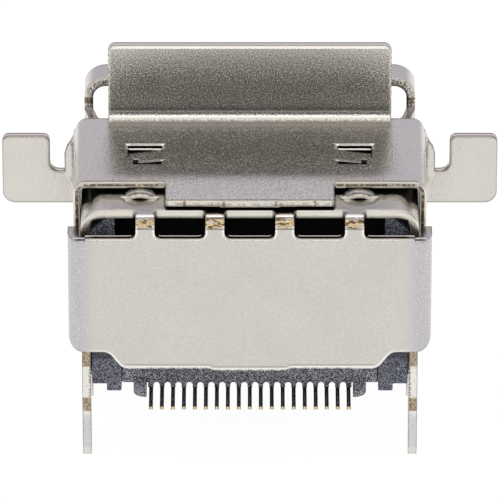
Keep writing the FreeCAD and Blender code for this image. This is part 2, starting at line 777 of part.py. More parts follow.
def wing():
    """The L-shaped wing bent outward from the side wall's front edge."""
    inner = SHIELD_HALF - SHIELD_SHEET
    rear = SHIELD_DEPTH - WING_BEND - WING_WALL
    bent = prism_z([
        (SHIELD_HALF, rear, 0),
        (SHIELD_HALF, SHIELD_DEPTH, WING_BEND),
        (WING_REACH, SHIELD_DEPTH, 0),
        (WING_REACH, SHIELD_FRONT, 0),
        (inner, SHIELD_FRONT, WING_BEND + SHIELD_SHEET),
        (inner, rear, 0),
    ], WING_BOTTOM_Z, WING_TOP_Z)
    front_view = prism_y([
        (inner - OVERRUN, WING_BOTTOM_Z, 0),
        (WING_REACH, WING_BOTTOM_Z, WING_LOWER_ROUND),
        (WING_REACH, WING_TOP_Z, WING_ROUND),
        (WING_UPRIGHT_INNER_X, WING_TOP_Z, WING_ROUND),
        (WING_UPRIGHT_INNER_X, WING_NECK_TOP_Z, WING_NECK_ROUND),
        (inner - OVERRUN, WING_NECK_TOP_Z, 0),
    ], rear - OVERRUN, SHIELD_FRONT + OVERRUN)
    return bent.common(front_view)


def bead_section(z, reach):
    """One level of the bead: the wall curls outward by the reach before its front edge."""
    rear = SHIELD_DEPTH - BEAD_LENGTH
    radius = (BEAD_LENGTH ** 2 + reach ** 2) / (2 * reach)
    angle = 2 * math.atan2(reach, BEAD_LENGTH)
    centre_x = SHIELD_HALF + radius

    def on_arc(turn, thickness):
        distance = radius + thickness
        return V(centre_x - distance * math.cos(turn), depth(rear + distance * math.sin(turn)), z)

    outer = [on_arc(0, 0), on_arc(angle / 2, 0), on_arc(angle, 0)]
    inner = [on_arc(angle, SHIELD_SHEET), on_arc(angle / 2, SHIELD_SHEET), on_arc(0, SHIELD_SHEET)]
    return Part.Wire([
        Part.Arc(outer[0], outer[1], outer[2]).toShape(),
        Part.LineSegment(outer[2], inner[0]).toShape(),
        Part.Arc(inner[0], inner[1], inner[2]).toShape(),
        Part.LineSegment(inner[2], outer[0]).toShape(),
    ])


def bead_levels():
    """The bead's heights and its reach there: it swells, stays full, and fades at the top."""
    levels = []
    for i in range(BEAD_STEPS + 1):
        share = i / BEAD_STEPS
        swell = 0.5 - 0.5 * math.cos(math.pi * share)
        levels.append((BEAD_LOW_Z + (BEAD_FULL_LOW_Z - BEAD_LOW_Z) * share, swell))
    for i in range(BEAD_STEPS + 1):
        share = i / BEAD_STEPS
        fade = 0.5 + 0.5 * math.cos(math.pi * share)
        levels.append((BEAD_FULL_HIGH_Z + (BEAD_TOP_Z - BEAD_FULL_HIGH_Z) * share, fade))
    return [(z, max(BEAD_REACH * part, BEAD_LEAST)) for z, part in levels]


def bead():
    """The swelling of the wing's bend, which gives way above the neck to a fading rim."""
    return Part.makeLoft([bead_section(z, reach) for z, reach in bead_levels()], True, True)


def bend_room():
    """What the wall gives up ahead of the wing's bend and ahead of the bead."""
    inner = SHIELD_HALF - SHIELD_SHEET - LAP
    wing_room = block(inner, FAR, SHIELD_DEPTH - WING_BEND, FAR,
                      WING_BOTTOM_Z - WING_RELIEF_DROP - LAP, BEAD_LOW_Z)
    bead_room = block(inner, FAR, SHIELD_DEPTH - BEAD_LENGTH, FAR, BEAD_LOW_Z, BEAD_TOP_Z)
    return wing_room.fuse(bead_room)


def front_corner_trim():
    """What rounds the roof's front corners in plan, beside the flange."""
    high = SHIELD_TOP_Z + OVERRUN
    keep = prism_z([
        (-SHIELD_HALF, -OVERRUN, 0),
        (-SHIELD_HALF, SHIELD_DEPTH, SHIELD_FRONT_ROUND),
        (SHIELD_HALF, SHIELD_DEPTH, SHIELD_FRONT_ROUND),
        (SHIELD_HALF, -OVERRUN, 0),
    ], BEAD_TOP_Z, high)
    return block(-FAR, FAR, -OVERRUN, SHIELD_DEPTH, BEAD_TOP_Z, high).cut(keep)


def j_slot():
    """The slot that frees the lanced finger: a J in plan, with a square hook at its end."""
    return prism_z([
        (J_ROOT_X, J_REAR, J_SLOT_ROUND),
        (J_HOOK_OUTER_X, J_REAR, J_SLOT_ROUND),
        (J_HOOK_OUTER_X, J_NOSE_REAR, 0),
        (J_END_X, J_NOSE_REAR, 0),
        (J_END_X, J_FRONT, J_SLOT_ROUND),
        (J_ROOT_X, J_FRONT, J_SLOT_ROUND),
    ], SHIELD_TOP_Z - SHIELD_SHEET - LAP, SHIELD_TOP_Z + LAP)


def j_finger():
    """The lanced finger: its nose is pressed down to spring on the main shell."""
    rear = J_REAR + J_REAR_SLOT
    front = J_FRONT - J_FRONT_SLOT
    end = J_END_X - J_END_GAP
    sink = SHIELD_ROOF_GAP - J_CLEARANCE
    under = SHIELD_TOP_Z - SHIELD_SHEET
    slope = prism_y([
        (J_ROOT_X - LAP, SHIELD_TOP_Z, 0),
        (J_ROOT_X - LAP, under, 0),
        (J_ROOT_X, under, 0),
        (end, under - sink, 0),
        (end, SHIELD_TOP_Z - sink, 0),
        (J_ROOT_X, SHIELD_TOP_Z, 0),
    ], rear, front)
    plan = prism_z([
        (J_ROOT_X - LAP, rear, 0),
        (J_HOOK_INNER_X, rear, 0),
        (J_HOOK_INNER_X, J_NOSE_REAR + J_NOSE_GAP, 0),
        (end, J_NOSE_REAR + J_NOSE_GAP, 0),
        (end, front, 0),
        (J_ROOT_X - LAP, front, 0),
    ], under - sink - LAP, SHIELD_TOP_Z + LAP)
    return slope.common(plan)


def catch_window():
    grow = CATCH_CLEARANCE
    half = CATCH_LENGTH / 2 + grow
    low = CATCH_TOP_Z - CATCH_HEIGHT - grow
    return prism_x([
        (CATCH_DEPTH - half, low, CATCH_ROUND),
        (CATCH_DEPTH + half, low, CATCH_ROUND),
        (CATCH_DEPTH + half, CATCH_TOP_Z + grow, CATCH_ROUND),
        (CATCH_DEPTH - half, CATCH_TOP_Z + grow, CATCH_ROUND),
    ], SHIELD_HALF - OVERRUN, SHIELD_HALF + OVERRUN)


def outer_shield():
    """The whole outer shield: one folded sheet with its flange and wings."""
    cuts = [front_corner_trim()]
    cuts += both_sides(j_slot()) + both_sides(catch_window()) + both_sides(bend_room())
    added = [flange()] + both_sides(wing()) + both_sides(bead()) + both_sides(j_finger())
    return fuse_all(shield_body().cut(cuts), added)


def contact_x(index):
    return CONTACT_PITCH * (index - (CONTACT_COUNT - 1) / 2)


def is_upper(index):
    return index % 2 == 0


def contact_levels(index):
    """The beam's lower and upper faces, and how far its drop stands before the rear face."""
    half = TONGUE_THICKNESS / 2
    if is_upper(index):
        top = TONGUE_CENTRE_Z + half + CONTACT_PROUD
        return top - CONTACT_SHEET, top, UPPER_ROW_REAR
    low = TONGUE_CENTRE_Z - half - CONTACT_PROUD
    return low, low + CONTACT_SHEET, LOWER_ROW_REAR


def contact_solid(index, grow):
    """One contact: beam along the tongue, drop behind the housing, solder foot."""
    low, high, drop_rear = contact_levels(index)
    drop_front = drop_rear + CONTACT_SHEET
    tip = MOUTH_BACK + TONGUE_LENGTH - CONTACT_TIP_GAP
    neck = drop_front + CONTACT_BEND + CONTACT_NECK
    outer_bend = CONTACT_BEND + CONTACT_SHEET
    beam_half = CONTACT_BEAM_WIDTH / 2 + grow
    tail_half = CONTACT_TAIL_WIDTH / 2 + grow
    x = contact_x(index)
    beam = prism_x([
        (neck, low - grow, 0),
        (neck, high + grow, 0),
        (tip + grow, high + grow, 0),
        (tip + grow, low - grow, 0),
    ], x - beam_half, x + beam_half)
    tail = prism_x([
        (neck + LAP, high + grow, 0),
        (drop_rear - grow, high + grow, outer_bend),
        (drop_rear - grow, CONTACT_SHEET + grow, CONTACT_BEND),
        (-TAIL_REACH, CONTACT_SHEET + grow, 0),
        (-TAIL_REACH, -grow, 0),
        (drop_front + grow, -grow, outer_bend),
        (drop_front + grow, low - grow, CONTACT_BEND),
        (neck + LAP, low - grow, 0),
    ], x - tail_half, x + tail_half)
    return beam.fuse(tail).removeSplitter()


def housing_block():
    """The body inside the main shell, from the back wall to the nose under the mouth."""
    body_front = TUBE_REAR - HOUSING_CLEARANCE
    body = prism_y([
        (-HOUSING_HALF, 0, 0),
        (-HOUSING_HALF, HOUSING_TOP_Z, CHEEK_CHAMFER),
        (HOUSING_HALF, HOUSING_TOP_Z, CHEEK_CHAMFER),
        (HOUSING_HALF, 0, 0),
    ], HOUSING_BACK_WALL_REAR, body_front)
    below_tube = MOUTH_BOTTOM_Z - HOUSING_CLEARANCE
    nose = prism_x([
        (body_front - LAP, 0, 0),
        (HOUSING_FRONT, 0, 0),
        (HOUSING_FRONT, below_tube - HOUSING_NOSE_CHAMFER, 0),
        (HOUSING_FRONT - HOUSING_NOSE_CHAMFER, below_tube, 0),
        (body_front - LAP, below_tube, 0),
    ], -HOUSING_HALF, HOUSING_HALF)
    cavity = prism_y(mouth_corners(SHELL_SHEET), MOUTH_BACK, SHELL_DEPTH)
    return body.fuse(nose).cut(cavity)


def hood():
    """The top of the back wall, drawn back over the contacts' bends."""
    return block(-CHEEK_INNER_X - LAP, CHEEK_INNER_X + LAP, HOUSING_HOOD_REAR,
                 HOUSING_BACK_WALL_REAR + LAP, TONGUE_CENTRE_Z, HOUSING_TOP_Z)


def cheek():
    """One side of the housing behind the back wall, with its foot on the board."""
    return prism_y([
        (COMB_POCKET_HALF, 0, FOOT_ROUND),
        (FOOT_OUTER_X, 0, FOOT_ROUND),
        (FOOT_OUTER_X, FOOT_STEP_Z, 0),
        (HOUSING_HALF, FOOT_STEP_Z, FOOT_ROUND),
        (HOUSING_HALF, HOUSING_TOP_Z - CHEEK_CHAMFER, 0),
        (HOUSING_HALF - CHEEK_CHAMFER, HOUSING_TOP_Z, 0),
        (CHEEK_INNER_X, HOUSING_TOP_Z, 0),
        (CHEEK_INNER_X, COMB_POCKET_TOP_Z, 0),
        (COMB_POCKET_HALF, COMB_POCKET_TOP_Z, 0),
    ], HOUSING_REAR, HOUSING_BACK_WALL_REAR + LAP)


def comb_ledge():
    """The ledge of the foot that the comb's end stands over."""
    return block(COMB_POCKET_HALF - COMB_LEDGE_WIDTH, COMB_POCKET_HALF + LAP, COMB_LEDGE_REAR,
                 HOUSING_BACK_WALL_REAR + LAP, 0, FOOT_STEP_Z)


def flank_rib():
    """The rib along the housing's side that the main shell's wall presses on."""
    return block(HOUSING_HALF - LAP, SHELL_INNER_HALF - FLANK_RIB_GAP, FLANK_RIB_REAR,
                 FLANK_RIB_REAR + FLANK_RIB_LENGTH, FLANK_RIB_LOW_Z,
                 FLANK_RIB_LOW_Z + FLANK_RIB_HEIGHT)


def tongue():
    """The tongue in the mouth that carries the contacts' beams."""
    half = TONGUE_WIDTH / 2
    low = TONGUE_CENTRE_Z - TONGUE_THICKNESS / 2
    high = TONGUE_CENTRE_Z + TONGUE_THICKNESS / 2
    root = MOUTH_BACK - LAP
    tip = MOUTH_BACK + TONGUE_LENGTH
    slab = prism_x([
        (root, low, 0),
        (root, high, 0),
        (tip, high, TONGUE_NOSE),
        (tip, low, TONGUE_NOSE),
    ], -half, half)
    plan = prism_z([
        (-half, root - OVERRUN, 0),
        (-half, tip, TONGUE_END_ROUND),
        (half, tip, TONGUE_END_ROUND),
        (half, root - OVERRUN, 0),
    ], low - OVERRUN, high + OVERRUN)
    return slab.common(plan)


def seat_pocket():
    """A shallow hollow in the housing's underside, beside the middle pad."""
    rear = REAR_FACE_Y - SEAT_POCKET_LENGTH / 2
    front = REAR_FACE_Y + SEAT_POCKET_LENGTH / 2
    outer = SEAT_PAD_HALF_WIDTH + SEAT_POCKET_WIDTH
    return prism_z([
        (SEAT_PAD_HALF_WIDTH, rear, SEAT_POCKET_ROUND),
        (SEAT_PAD_HALF_WIDTH, front, SEAT_POCKET_ROUND),
        (outer, front, SEAT_POCKET_ROUND),
        (outer, rear, SEAT_POCKET_ROUND),
    ], -OVERRUN, SEAT_POCKET_DEPTH)


def housing():
    """The whole insulator, with a groove for every contact."""
    added = both_sides(cheek()) + both_sides(comb_ledge()) + both_sides(flank_rib())
    body = fuse_all(housing_block(), added + [hood(), tongue()])
    grooves = [contact_solid(i, CONTACT_CLEARANCE) for i in range(CONTACT_COUNT)]
    return body.cut(grooves + both_sides(seat_pocket()))


def guard_tab():
    """A tab of the comb beside the outermost tail: sloped on top, rounded on its outer corner."""
    outer = GUARD_INNER_X + GUARD_WIDTH
    rear = HOUSING_REAR - GUARD_REACH
    front = HOUSING_REAR + ARCH_DEPTH
    wedge = prism_x([
        (rear, 0, 0),
        (rear, GUARD_TOE_Z, 0),
        (HOUSING_REAR, GUARD_TOP_Z, 0),
        (front, GUARD_TOP_Z, 0),
        (front, 0, 0),
    ], GUARD_INNER_X, outer)
    plan = prism_z([
        (GUARD_INNER_X, rear, GUARD_INNER_ROUND),
        (outer, rear, GUARD_ROUND),
        (outer, front, 0),
        (GUARD_INNER_X, front, 0),
    ], 0, GUARD_TOP_Z)
    return wedge.common(plan)


def arch(x):
    """The arched gap between two tails in the comb's lower edge."""
    half = ARCH_WIDTH / 2
    top = half - ARCH_CHAMFER
    spring = COMB_BOTTOM_Z - ARCH_CHAMFER
    return prism_y([
        (x - half, -OVERRUN, 0),
        (x - half, spring, 0),
        (x - top, COMB_BOTTOM_Z, 0),
        (x + top, COMB_BOTTOM_Z, 0),
        (x + half, spring, 0),
        (x + half, -OVERRUN, 0),
    ], HOUSING_REAR - OVERRUN, HOUSING_REAR + ARCH_DEPTH)


def tail_slot(index):
    """The comb's slot for one tail: wider at the bottom, where the tail bends to its foot."""
    half = CONTACT_TAIL_WIDTH / 2 + CONTACT_CLEARANCE
    rear = contact_levels(index)[2] - CONTACT_CLEARANCE
    front = rear + CONTACT_SHEET + 2 * CONTACT_CLEARANCE
    bend_z = COMB_LOW_Z + CONTACT_BEND
    high = COMB_POCKET_TOP_Z + OVERRUN
    x = contact_x(index)
    return prism_x([
        (rear, high, 0),
        (rear, bend_z, 0),
        (rear - CONTACT_BEND, bend_z, 0),
        (rear - CONTACT_BEND, 0, 0),
        (front, 0, 0),
        (front, high, 0),
    ], x - half, x + half)


def tail_comb():
    """The whole comb: a bar with a tooth over every tail and a guard tab at each end of the row."""
    bar = block(-COMB_HALF, COMB_HALF, HOUSING_REAR, HOUSING_REAR + COMB_LENGTH, COMB_BOTTOM_Z,
                COMB_POCKET_TOP_Z - COMB_CLEARANCE)
    half_row = contact_x(CONTACT_COUNT - 1) + ARCH_WIDTH / 2
    teeth = block(-half_row, half_row, HOUSING_REAR, HOUSING_REAR + ARCH_DEPTH, COMB_LOW_Z,
                  COMB_BOTTOM_Z + LAP)
    gaps = [arch(contact_x(i) + CONTACT_PITCH / 2) for i in range(CONTACT_COUNT - 1)]
    bar = fuse_all(bar, [teeth.cut(gaps)] + both_sides(guard_tab()))
    return bar.cut([tail_slot(i) for i in range(CONTACT_COUNT)])


def write(name, shape):
    solids = shape.Solids
    if len(solids) != 1 or not shape.isValid():
        print("check", name, "solids", len(solids), "valid", shape.isValid())
    if len(solids) == 1:
        shape = solids[0]
    shape.exportStep("parts/" + name + ".step")
    print(name, round(shape.Volume, 3), shape.BoundBox)


def main():
    os.makedirs("parts", exist_ok=True)
    write("inner_shell", inner_shell())
    write("outer_shield", outer_shield())
    write("housing", housing())
    write("tail_comb", tail_comb())
    for index in range(CONTACT_COUNT):
        write("contact_%02d" % (index + 1), contact_solid(index, 0))


main()
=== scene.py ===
"""Finishes and studio for the raised board socket.

Satin nickel on two folded sheets, moulded plastic and plated contacts, in a pale room.
"""
import math
from collections import namedtuple

import bpy
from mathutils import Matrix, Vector


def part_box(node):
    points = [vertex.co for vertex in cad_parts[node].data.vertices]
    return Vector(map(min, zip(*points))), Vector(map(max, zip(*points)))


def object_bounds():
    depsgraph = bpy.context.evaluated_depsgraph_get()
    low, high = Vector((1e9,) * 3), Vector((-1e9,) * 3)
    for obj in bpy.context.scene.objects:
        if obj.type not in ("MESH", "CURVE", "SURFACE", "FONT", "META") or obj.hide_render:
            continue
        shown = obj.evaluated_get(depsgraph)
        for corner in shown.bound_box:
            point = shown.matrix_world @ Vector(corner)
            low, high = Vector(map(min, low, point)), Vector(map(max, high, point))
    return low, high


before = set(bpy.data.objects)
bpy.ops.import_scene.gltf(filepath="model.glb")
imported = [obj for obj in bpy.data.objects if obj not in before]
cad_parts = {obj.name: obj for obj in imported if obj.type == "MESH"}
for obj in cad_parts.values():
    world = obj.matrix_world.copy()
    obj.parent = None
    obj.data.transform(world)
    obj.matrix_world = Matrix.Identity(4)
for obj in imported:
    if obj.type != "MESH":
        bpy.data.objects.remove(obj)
cad_low, cad_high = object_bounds()

MM = 0.001

# Studio, measured from the photograph's 500 x 500 frame
PHOTO_WIDTH_PX = 500
PHOTO_FOCAL_PX = 8877.6
CAMERA_ELEVATION = math.radians(32.0)
CAMERA_DISTANCE = 400 * MM
CAMERA_NEAREST = 10 * MM
AIM_HEIGHT = 8.15 * MM
CENTRE_OFFSET_PX = 0.2
SENSOR_WIDTH = 36.0

# Light in the room, as colours
WHITE = (1.0, 1.0, 1.0)
BACKDROP_LIGHT = (0.70, 0.68, 0.765)
CAMERA_SIDE_LIGHT = (0.30, 0.30, 0.30)
SOFTBOX_LIGHT = (1.32, 1.31, 1.28)
LENS_LIGHT = (0.02, 0.02, 0.02)

# Where each light ends: parts of a direction towards the camera's side (Y) and upwards (Z)
CAMERA_SIDE_EDGE = (-0.05, 0.30)
SOFTBOX_FAR_EDGE = (-0.66, -0.44)
SOFTBOX_LOW_EDGE = (0.48, 0.60)
LENS_ELEVATION = math.radians(24.0)
LENS_INNER = math.radians(8.0)
LENS_OUTER = math.radians(14.0)

# The lamp overhead and the floor
LAMP_PLACE = (0, 20 * MM, 160 * MM)
LAMP_AIM = (0, 0, 5 * MM)
LAMP_SIZE = (150 * MM, 110 * MM)
LAMP_POWER = 0.14
FLOOR_REACH = 3.0
PAPER = (0.95, 0.95, 0.95)
FLOOR_GLOW = 1.03
FLOOR_GLOW_SHARE = 0.94

# Levels on the part, from the frame
REAR_FACE_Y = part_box("inner_shell")[1].y
FLANGE_TOP_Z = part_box("outer_shield")[1].z

# The two folded sheets seen from behind: half width, roof level, corner radius and sheet thickness
Sheet = namedtuple("Sheet", "half top corner thickness")
SHELL_SHEET = Sheet(7.64 * MM, 9.75 * MM, 1.00 * MM, 0.40 * MM)
SHIELD_SHEET = Sheet(8.00 * MM, 10.25 * MM, 0.58 * MM, 0.30 * MM)

# A stretch in millimetres, open where an end is None, with a soft border outside it
Zone = namedtuple("Zone", "low high soft")

# What a coat of finish is placed by: the point, its distance from the middle plane, its distance
# ahead of the rear face, its height, how far it faces the rear and upwards, and the sheet's own masks
Place = namedtuple("Place", "point side ahead z ny nz cut deep sand mottle edge")


class Value:
    """A shader socket, so that maths on it reads as an expression."""

    def __init__(self, graph, socket):
        self.graph = graph
        self.socket = socket

    def _math(self, operation, *others):
        values = {0: self}
        for place, other in enumerate(others, start=1):
            values[place] = other
        return self.graph.add("ShaderNodeMath", {"operation": operation}, values)[0]

    def __add__(self, other):
        return self._math("ADD", other)

    def __sub__(self, other):
        return self._math("SUBTRACT", other)

    def __mul__(self, other):
        return self._math("MULTIPLY", other)

    def __truediv__(self, other):
        return self._math("DIVIDE", other)

    def __pow__(self, other):
        return self._math("POWER", other)

    def __radd__(self, other):
        return self._math("ADD", other)

    def __rmul__(self, other):
        return self._math("MULTIPLY", other)

    def __rsub__(self, other):
        return (self * -1.0)._math("ADD", other)

    def __abs__(self):
        return self._math("ABSOLUTE")

    def from_nearest(self, period):
        """The distance from the nearest multiple of the period."""
        return self._math("PINGPONG", period / 2)

    def at_most(self, other):
        return self._math("MINIMUM", other)

    def at_least(self, other):
        return self._math("MAXIMUM", other)

    def ramp(self, start, end):
        """0 at start, 1 at end, smooth between, and held outside."""
        settings = {"interpolation_type": "SMOOTHSTEP"}
        sockets = {"Value": self, "From Min": start, "From Max": end}
        if start > end:
            sockets = {"Value": self, "From Min": end, "From Max": start, "To Min": 1.0, "To Max": 0.0}
        return self.graph.add("ShaderNodeMapRange", settings, sockets)["Result"]

    def between(self, low, high, soft):
        """1 between low and high, falling to 0 over soft outside them."""
        return self.ramp(low - soft, low) * self.ramp(high + soft, high)

    def within(self, zone):
        """1 in a zone of the part, falling to 0 over its soft border."""
        if zone.low is None:
            return self.ramp((zone.high + zone.soft) * MM, zone.high * MM)
        past_low = self.ramp((zone.low - zone.soft) * MM, zone.low * MM)
        if zone.high is None:
            return past_low
        return past_low * self.ramp((zone.high + zone.soft) * MM, zone.high * MM)


class Outputs:
    """A node's output sockets, by name or by place."""

    def __init__(self, graph, node):
        self.graph = graph
        self.node = node

    def __getitem__(self, key):
        return Value(self.graph, self.node.outputs[key])


class Graph:
    """The node tree of one material or of the world."""

    def __init__(self, tree):
        self.tree = tree
        tree.nodes.clear()

    def add(self, kind, settings=None, sockets=None):
        """One node: its settings first, then its sockets' values or links."""
        node = self.tree.nodes.new(kind)
        for name, value in (settings or {}).items():
            setattr(node, name, value)
        for key, value in (sockets or {}).items():
            if isinstance(value, Value):
                self.tree.links.new(value.socket, node.inputs[key])
            else:
                node.inputs[key].default_value = value
        return Outputs(self, node)

    def mix(self, factor, first, second):
        """The first colour where factor is 0, the second where it is 1."""
        sockets = {0: factor, 6: full(first), 7: full(second)}
        return self.add("ShaderNodeMix", {"data_type": "RGBA"}, sockets)[2]

    def position(self):
        """The point in the part's frame, its x, its distance ahead of the rear face, and its height."""
        point = self.add("ShaderNodeTexCoord")["Object"]
        split = self.add("ShaderNodeSeparateXYZ", {}, {"Vector": point})
        return point, split["X"], REAR_FACE_Y - split["Y"], split["Z"]

    def facing(self):
        """How far the surface faces the rear, and how far upwards."""
        split = self.add("ShaderNodeSeparateXYZ", {}, {"Vector": self.true_normal()})
        return split["Y"], split["Z"]

    def stretched(self, point, factors):
        """The same point with each direction scaled, for grain that runs one way."""
        settings = {"operation": "MULTIPLY"}
        return self.add("ShaderNodeVectorMath", settings, {0: point, 1: factors})["Vector"]

    def noise(self, point, size, detail=3.0, roughness=0.55):
        """Cloudy noise, 0 to 1, whose features are about size across."""
        sockets = {"Vector": point, "Scale": 1.0 / size, "Detail": detail, "Roughness": roughness}
        return self.add("ShaderNodeTexNoise", {"noise_dimensions": "3D"}, sockets)["Fac"]

    def bump(self, height, depth, normal):
        """A bump on that normal, with that depth in metres for a height of 1."""
        sockets = {"Height": height, "Distance": depth, "Strength": 1.0, "Normal": normal}
        return self.add("ShaderNodeBump", {}, sockets)["Normal"]

    def rounded_edges(self, radius):
        """Normals that run round each sharp edge, as on a blanked and plated edge."""
        return self.add("ShaderNodeBevel", {"samples": 8}, {"Radius": radius})["Normal"]

    def along(self, direction, other):
        """How far one direction points along another, 1 where they agree."""
        settings = {"operation": "DOT_PRODUCT"}
        return self.add("ShaderNodeVectorMath", settings, {0: direction, 1: other})["Value"]

    def true_normal(self):
        return self.add("ShaderNodeNewGeometry")["True Normal"]

    def surface(self, constants, varying):
        """The main shader and the output."""
        shader = self.add("ShaderNodeBsdfPrincipled", {}, {**constants, **varying})
        self.add("ShaderNodeOutputMaterial", {}, {"Surface": shader["BSDF"]})


class Finish:
    """The colour, roughness and raised grain of a surface, laid on in coats."""

    def __init__(self, graph, colour, roughness, grain):
        self.graph = graph
        self.colour = colour
        self.roughness = roughness
        self.grain = grain

    def coat(self, mask, colour, strength=1.0):
        """Another colour where the mask is 1."""
        if strength != 1.0:
            mask = mask * strength
        self.colour = self.graph.mix(mask, self.colour, colour)

    def roughen(self, amount):
        self.roughness = self.roughness + amount

    def emboss(self, height):
        """Raises the surface, in depths of the sand grain."""
        self.grain = self.grain + height


def full(colour):
    """A colour with its alpha, or a link as it is."""
    if isinstance(colour, Value):
        return colour
    return (*colour, 1.0)


def scaled(colour, factors):
    return tuple(part * factor for part, factor in zip(colour, factors))


def highest(first, *others):
    """The greatest of several masks at each point."""
    for other in others:
        first = first.at_least(other)
    return first


def new_material(name):
    material = bpy.data.materials.new(name)
    material.use_nodes = True
    return material, Graph(material.node_tree)


def dress(names, material):
    """Gives CAD pieces their finish."""
    for name in names:
        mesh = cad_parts[name].data
        mesh.materials.clear()
        mesh.materials.append(material)


# Colours of the plating, the cut metal and its stains, and of painted highlights and painted shade
SHELL_NICKEL = (0.655, 0.620, 0.570)
SHIELD_NICKEL = (0.705, 0.668, 0.615)
COOL_TINT = (0.955, 0.975, 1.0)
NICKEL_SPECK = (0.30, 0.28, 0.25)
NICKEL_DARK = (0.24, 0.228, 0.215)
NICKEL_BRIGHT = (0.98, 0.955, 0.92)
CUT_PALE = (0.80, 0.76, 0.68)
CUT_BRIGHT = (0.96, 0.93, 0.86)
# Brown of stained cut metal, also laid as painted shade along edges
BROWN_STAIN_AND_SHADE = (0.17, 0.115, 0.07)
GOLD_STAIN = (0.80, 0.58, 0.25)
LEG_PALE = (0.85, 0.83, 0.78)
LEG_STAIN = (0.46, 0.34, 0.21)
WRAP_GREY = (0.50, 0.48, 0.515)
# Black laid as painted shade where the shield, the walls and the housing keep a place in the dark
SHADE_BLACK = (0.010, 0.009, 0.008)

# Facing: where a flat face's own direction counts as upward or rearward
SLOPING_UP = (0.5, 0.9)
UP = (0.8, 0.95)
FLAT_UP = (0.9, 0.98)
REARWARD = (0.9, 0.98)

# Grain of the plated sheet: sizes of its features and the ways it is drawn out
CLOUD_SIZE = 2.4 * MM
SAND_SIZE = 0.068 * MM
SAND_STRETCH = (1.0, 0.7, 1.0)
BRUSH_SIZE = 0.06 * MM
BRUSH_STRETCH = (1.0, 0.09, 1.0)
MOTTLE_SIZE = 0.17 * MM
GRAIN_DEPTH = 0.010 * MM
EDGE_ROLL = 0.22 * MM

# How much of a noise is patched: it is bare below the first level and covered above the second
CLOUD_PATCHES = (0.35, 0.65)
SAND_PATCHES = (0.35, 0.65)
BRUSH_LINES = (0.55, 0.75)

# The cut face's dull middle in sheet thicknesses, outside which its rims get a painted highlight, and the
# painted shade outline along a rolled edge
CUT_FACING = (0.88, 0.95)
CUT_MIDDLE = (0.20, 0.78, 0.10)
OUTLINE_TURN = (0.05, 0.15)


def skin_depth(side, z, sheet):
    """How deep a place lies below the folded sheet's outer skin, in sheet thicknesses."""
    beside = side - (sheet.half - sheet.corner)
    above = z - (sheet.top - sheet.corner)
    outside = (beside.at_least(0.0) ** 2 + above.at_least(0.0) ** 2) ** 0.5
    inside = beside.at_least(above).at_most(0.0)
    return (sheet.corner - outside - inside) / sheet.thickness


def folded_sheet(name, sheet, base, skin, lay_coats):
    """Satin nickel on folded sheet: sandy grain, brushing fore and aft, rolled and blanked edges, a
    painted highlight on the cut faces' rims and a painted shade outline along the edges.
    """
    material, graph = new_material(name)
    point, x, ahead, z = graph.position()
    ny, nz = graph.facing()
    side = abs(x)
    sloping_up = nz.ramp(*SLOPING_UP)
    cloud = graph.noise(point, CLOUD_SIZE)
    sand = graph.noise(graph.stretched(point, SAND_STRETCH), SAND_SIZE, detail=1.0, roughness=0.6)
    brush = graph.noise(graph.stretched(point, BRUSH_STRETCH), BRUSH_SIZE, detail=2.0)
    mottle = graph.noise(point, MOTTLE_SIZE, detail=3.0, roughness=0.6)
    rounded = graph.rounded_edges(EDGE_ROLL)
    edge = 1.0 - graph.along(rounded, graph.true_normal())
    deep = skin_depth(side, z, sheet)
    cut = ny.ramp(*CUT_FACING) * (1.0 - skin(ahead, z))

    plating = graph.mix(cloud.ramp(*CLOUD_PATCHES), base, scaled(base, COOL_TINT))
    roughness = 0.15 + cloud * 0.05 + cut * 0.12
    grain = sand * 1.2 + brush * sloping_up * 0.5 + mottle * cut * 1.5
    finish = Finish(graph, plating, roughness, grain)
    finish.coat(brush.ramp(*BRUSH_LINES) * sloping_up, NICKEL_SPECK, strength=0.15)
    finish.coat(sand.ramp(*SAND_PATCHES), NICKEL_SPECK, strength=0.18)
    # Painted highlight: the cut face's rims, outside its dull middle, are laid bright
    highlit_rims = 1.0 - deep.between(*CUT_MIDDLE)
    finish.coat(cut, graph.mix(highlit_rims * 0.8, CUT_PALE, CUT_BRIGHT))
    # Painted shade: a dark outline on the sheet faces along each edge, darker on faces that look up
    shade_outline = edge.ramp(*OUTLINE_TURN) * (0.40 + sloping_up * 0.45)
    finish.coat(shade_outline * (1.0 - cut), BROWN_STAIN_AND_SHADE)

    lay_coats(Place(point, side, ahead, z, ny, nz, cut, deep, sand, mottle, edge), finish)
    normal = graph.bump(finish.grain, GRAIN_DEPTH, rounded)
    varying = {"Base Color": finish.colour, "Roughness": finish.roughness, "Normal": normal}
    graph.surface({"Metallic": 1.0}, varying)
    return material


# Main shell, the skin that faces the rear
SHELL_SKIN_AHEAD = Zone(None, 0.70, 0.04)
SHELL_SKIN_Z = Zone(1.5, None, 0.3)


def shell_skin(ahead, z):
    """The rear-facing outside of the main shell: its plate and bridges."""
    return ahead.within(SHELL_SKIN_AHEAD) * z.within(SHELL_SKIN_Z)


# Main shell, the four bridges' bends with their wrinkles and a painted highlight on each bend
BRIDGE_SIDE = Zone(None, 5.4, 0.2)
BRIDGE_AHEAD = Zone(None, 0.40, 0.10)
BRIDGE_BEND_Z = Zone(9.18, None, 0.20)
BRIDGE_HIGHLIGHT_Z = Zone(9.65, None, 0.10)
WRINKLE_FOOT_Z = Zone(9.34, None, 0.14)
WRINKLE_HEAD_Z = Zone(None, 9.60, 0.12)
WRINKLE_SIZE = 0.15 * MM
WRINKLE_STRETCH = (0.40, 1.0, 1.0)
WRINKLE_HEIGHT = 34.0
GOLD_PATCHES = (0.34, 0.48)
BROWN_CREASES = (0.49, 0.58)


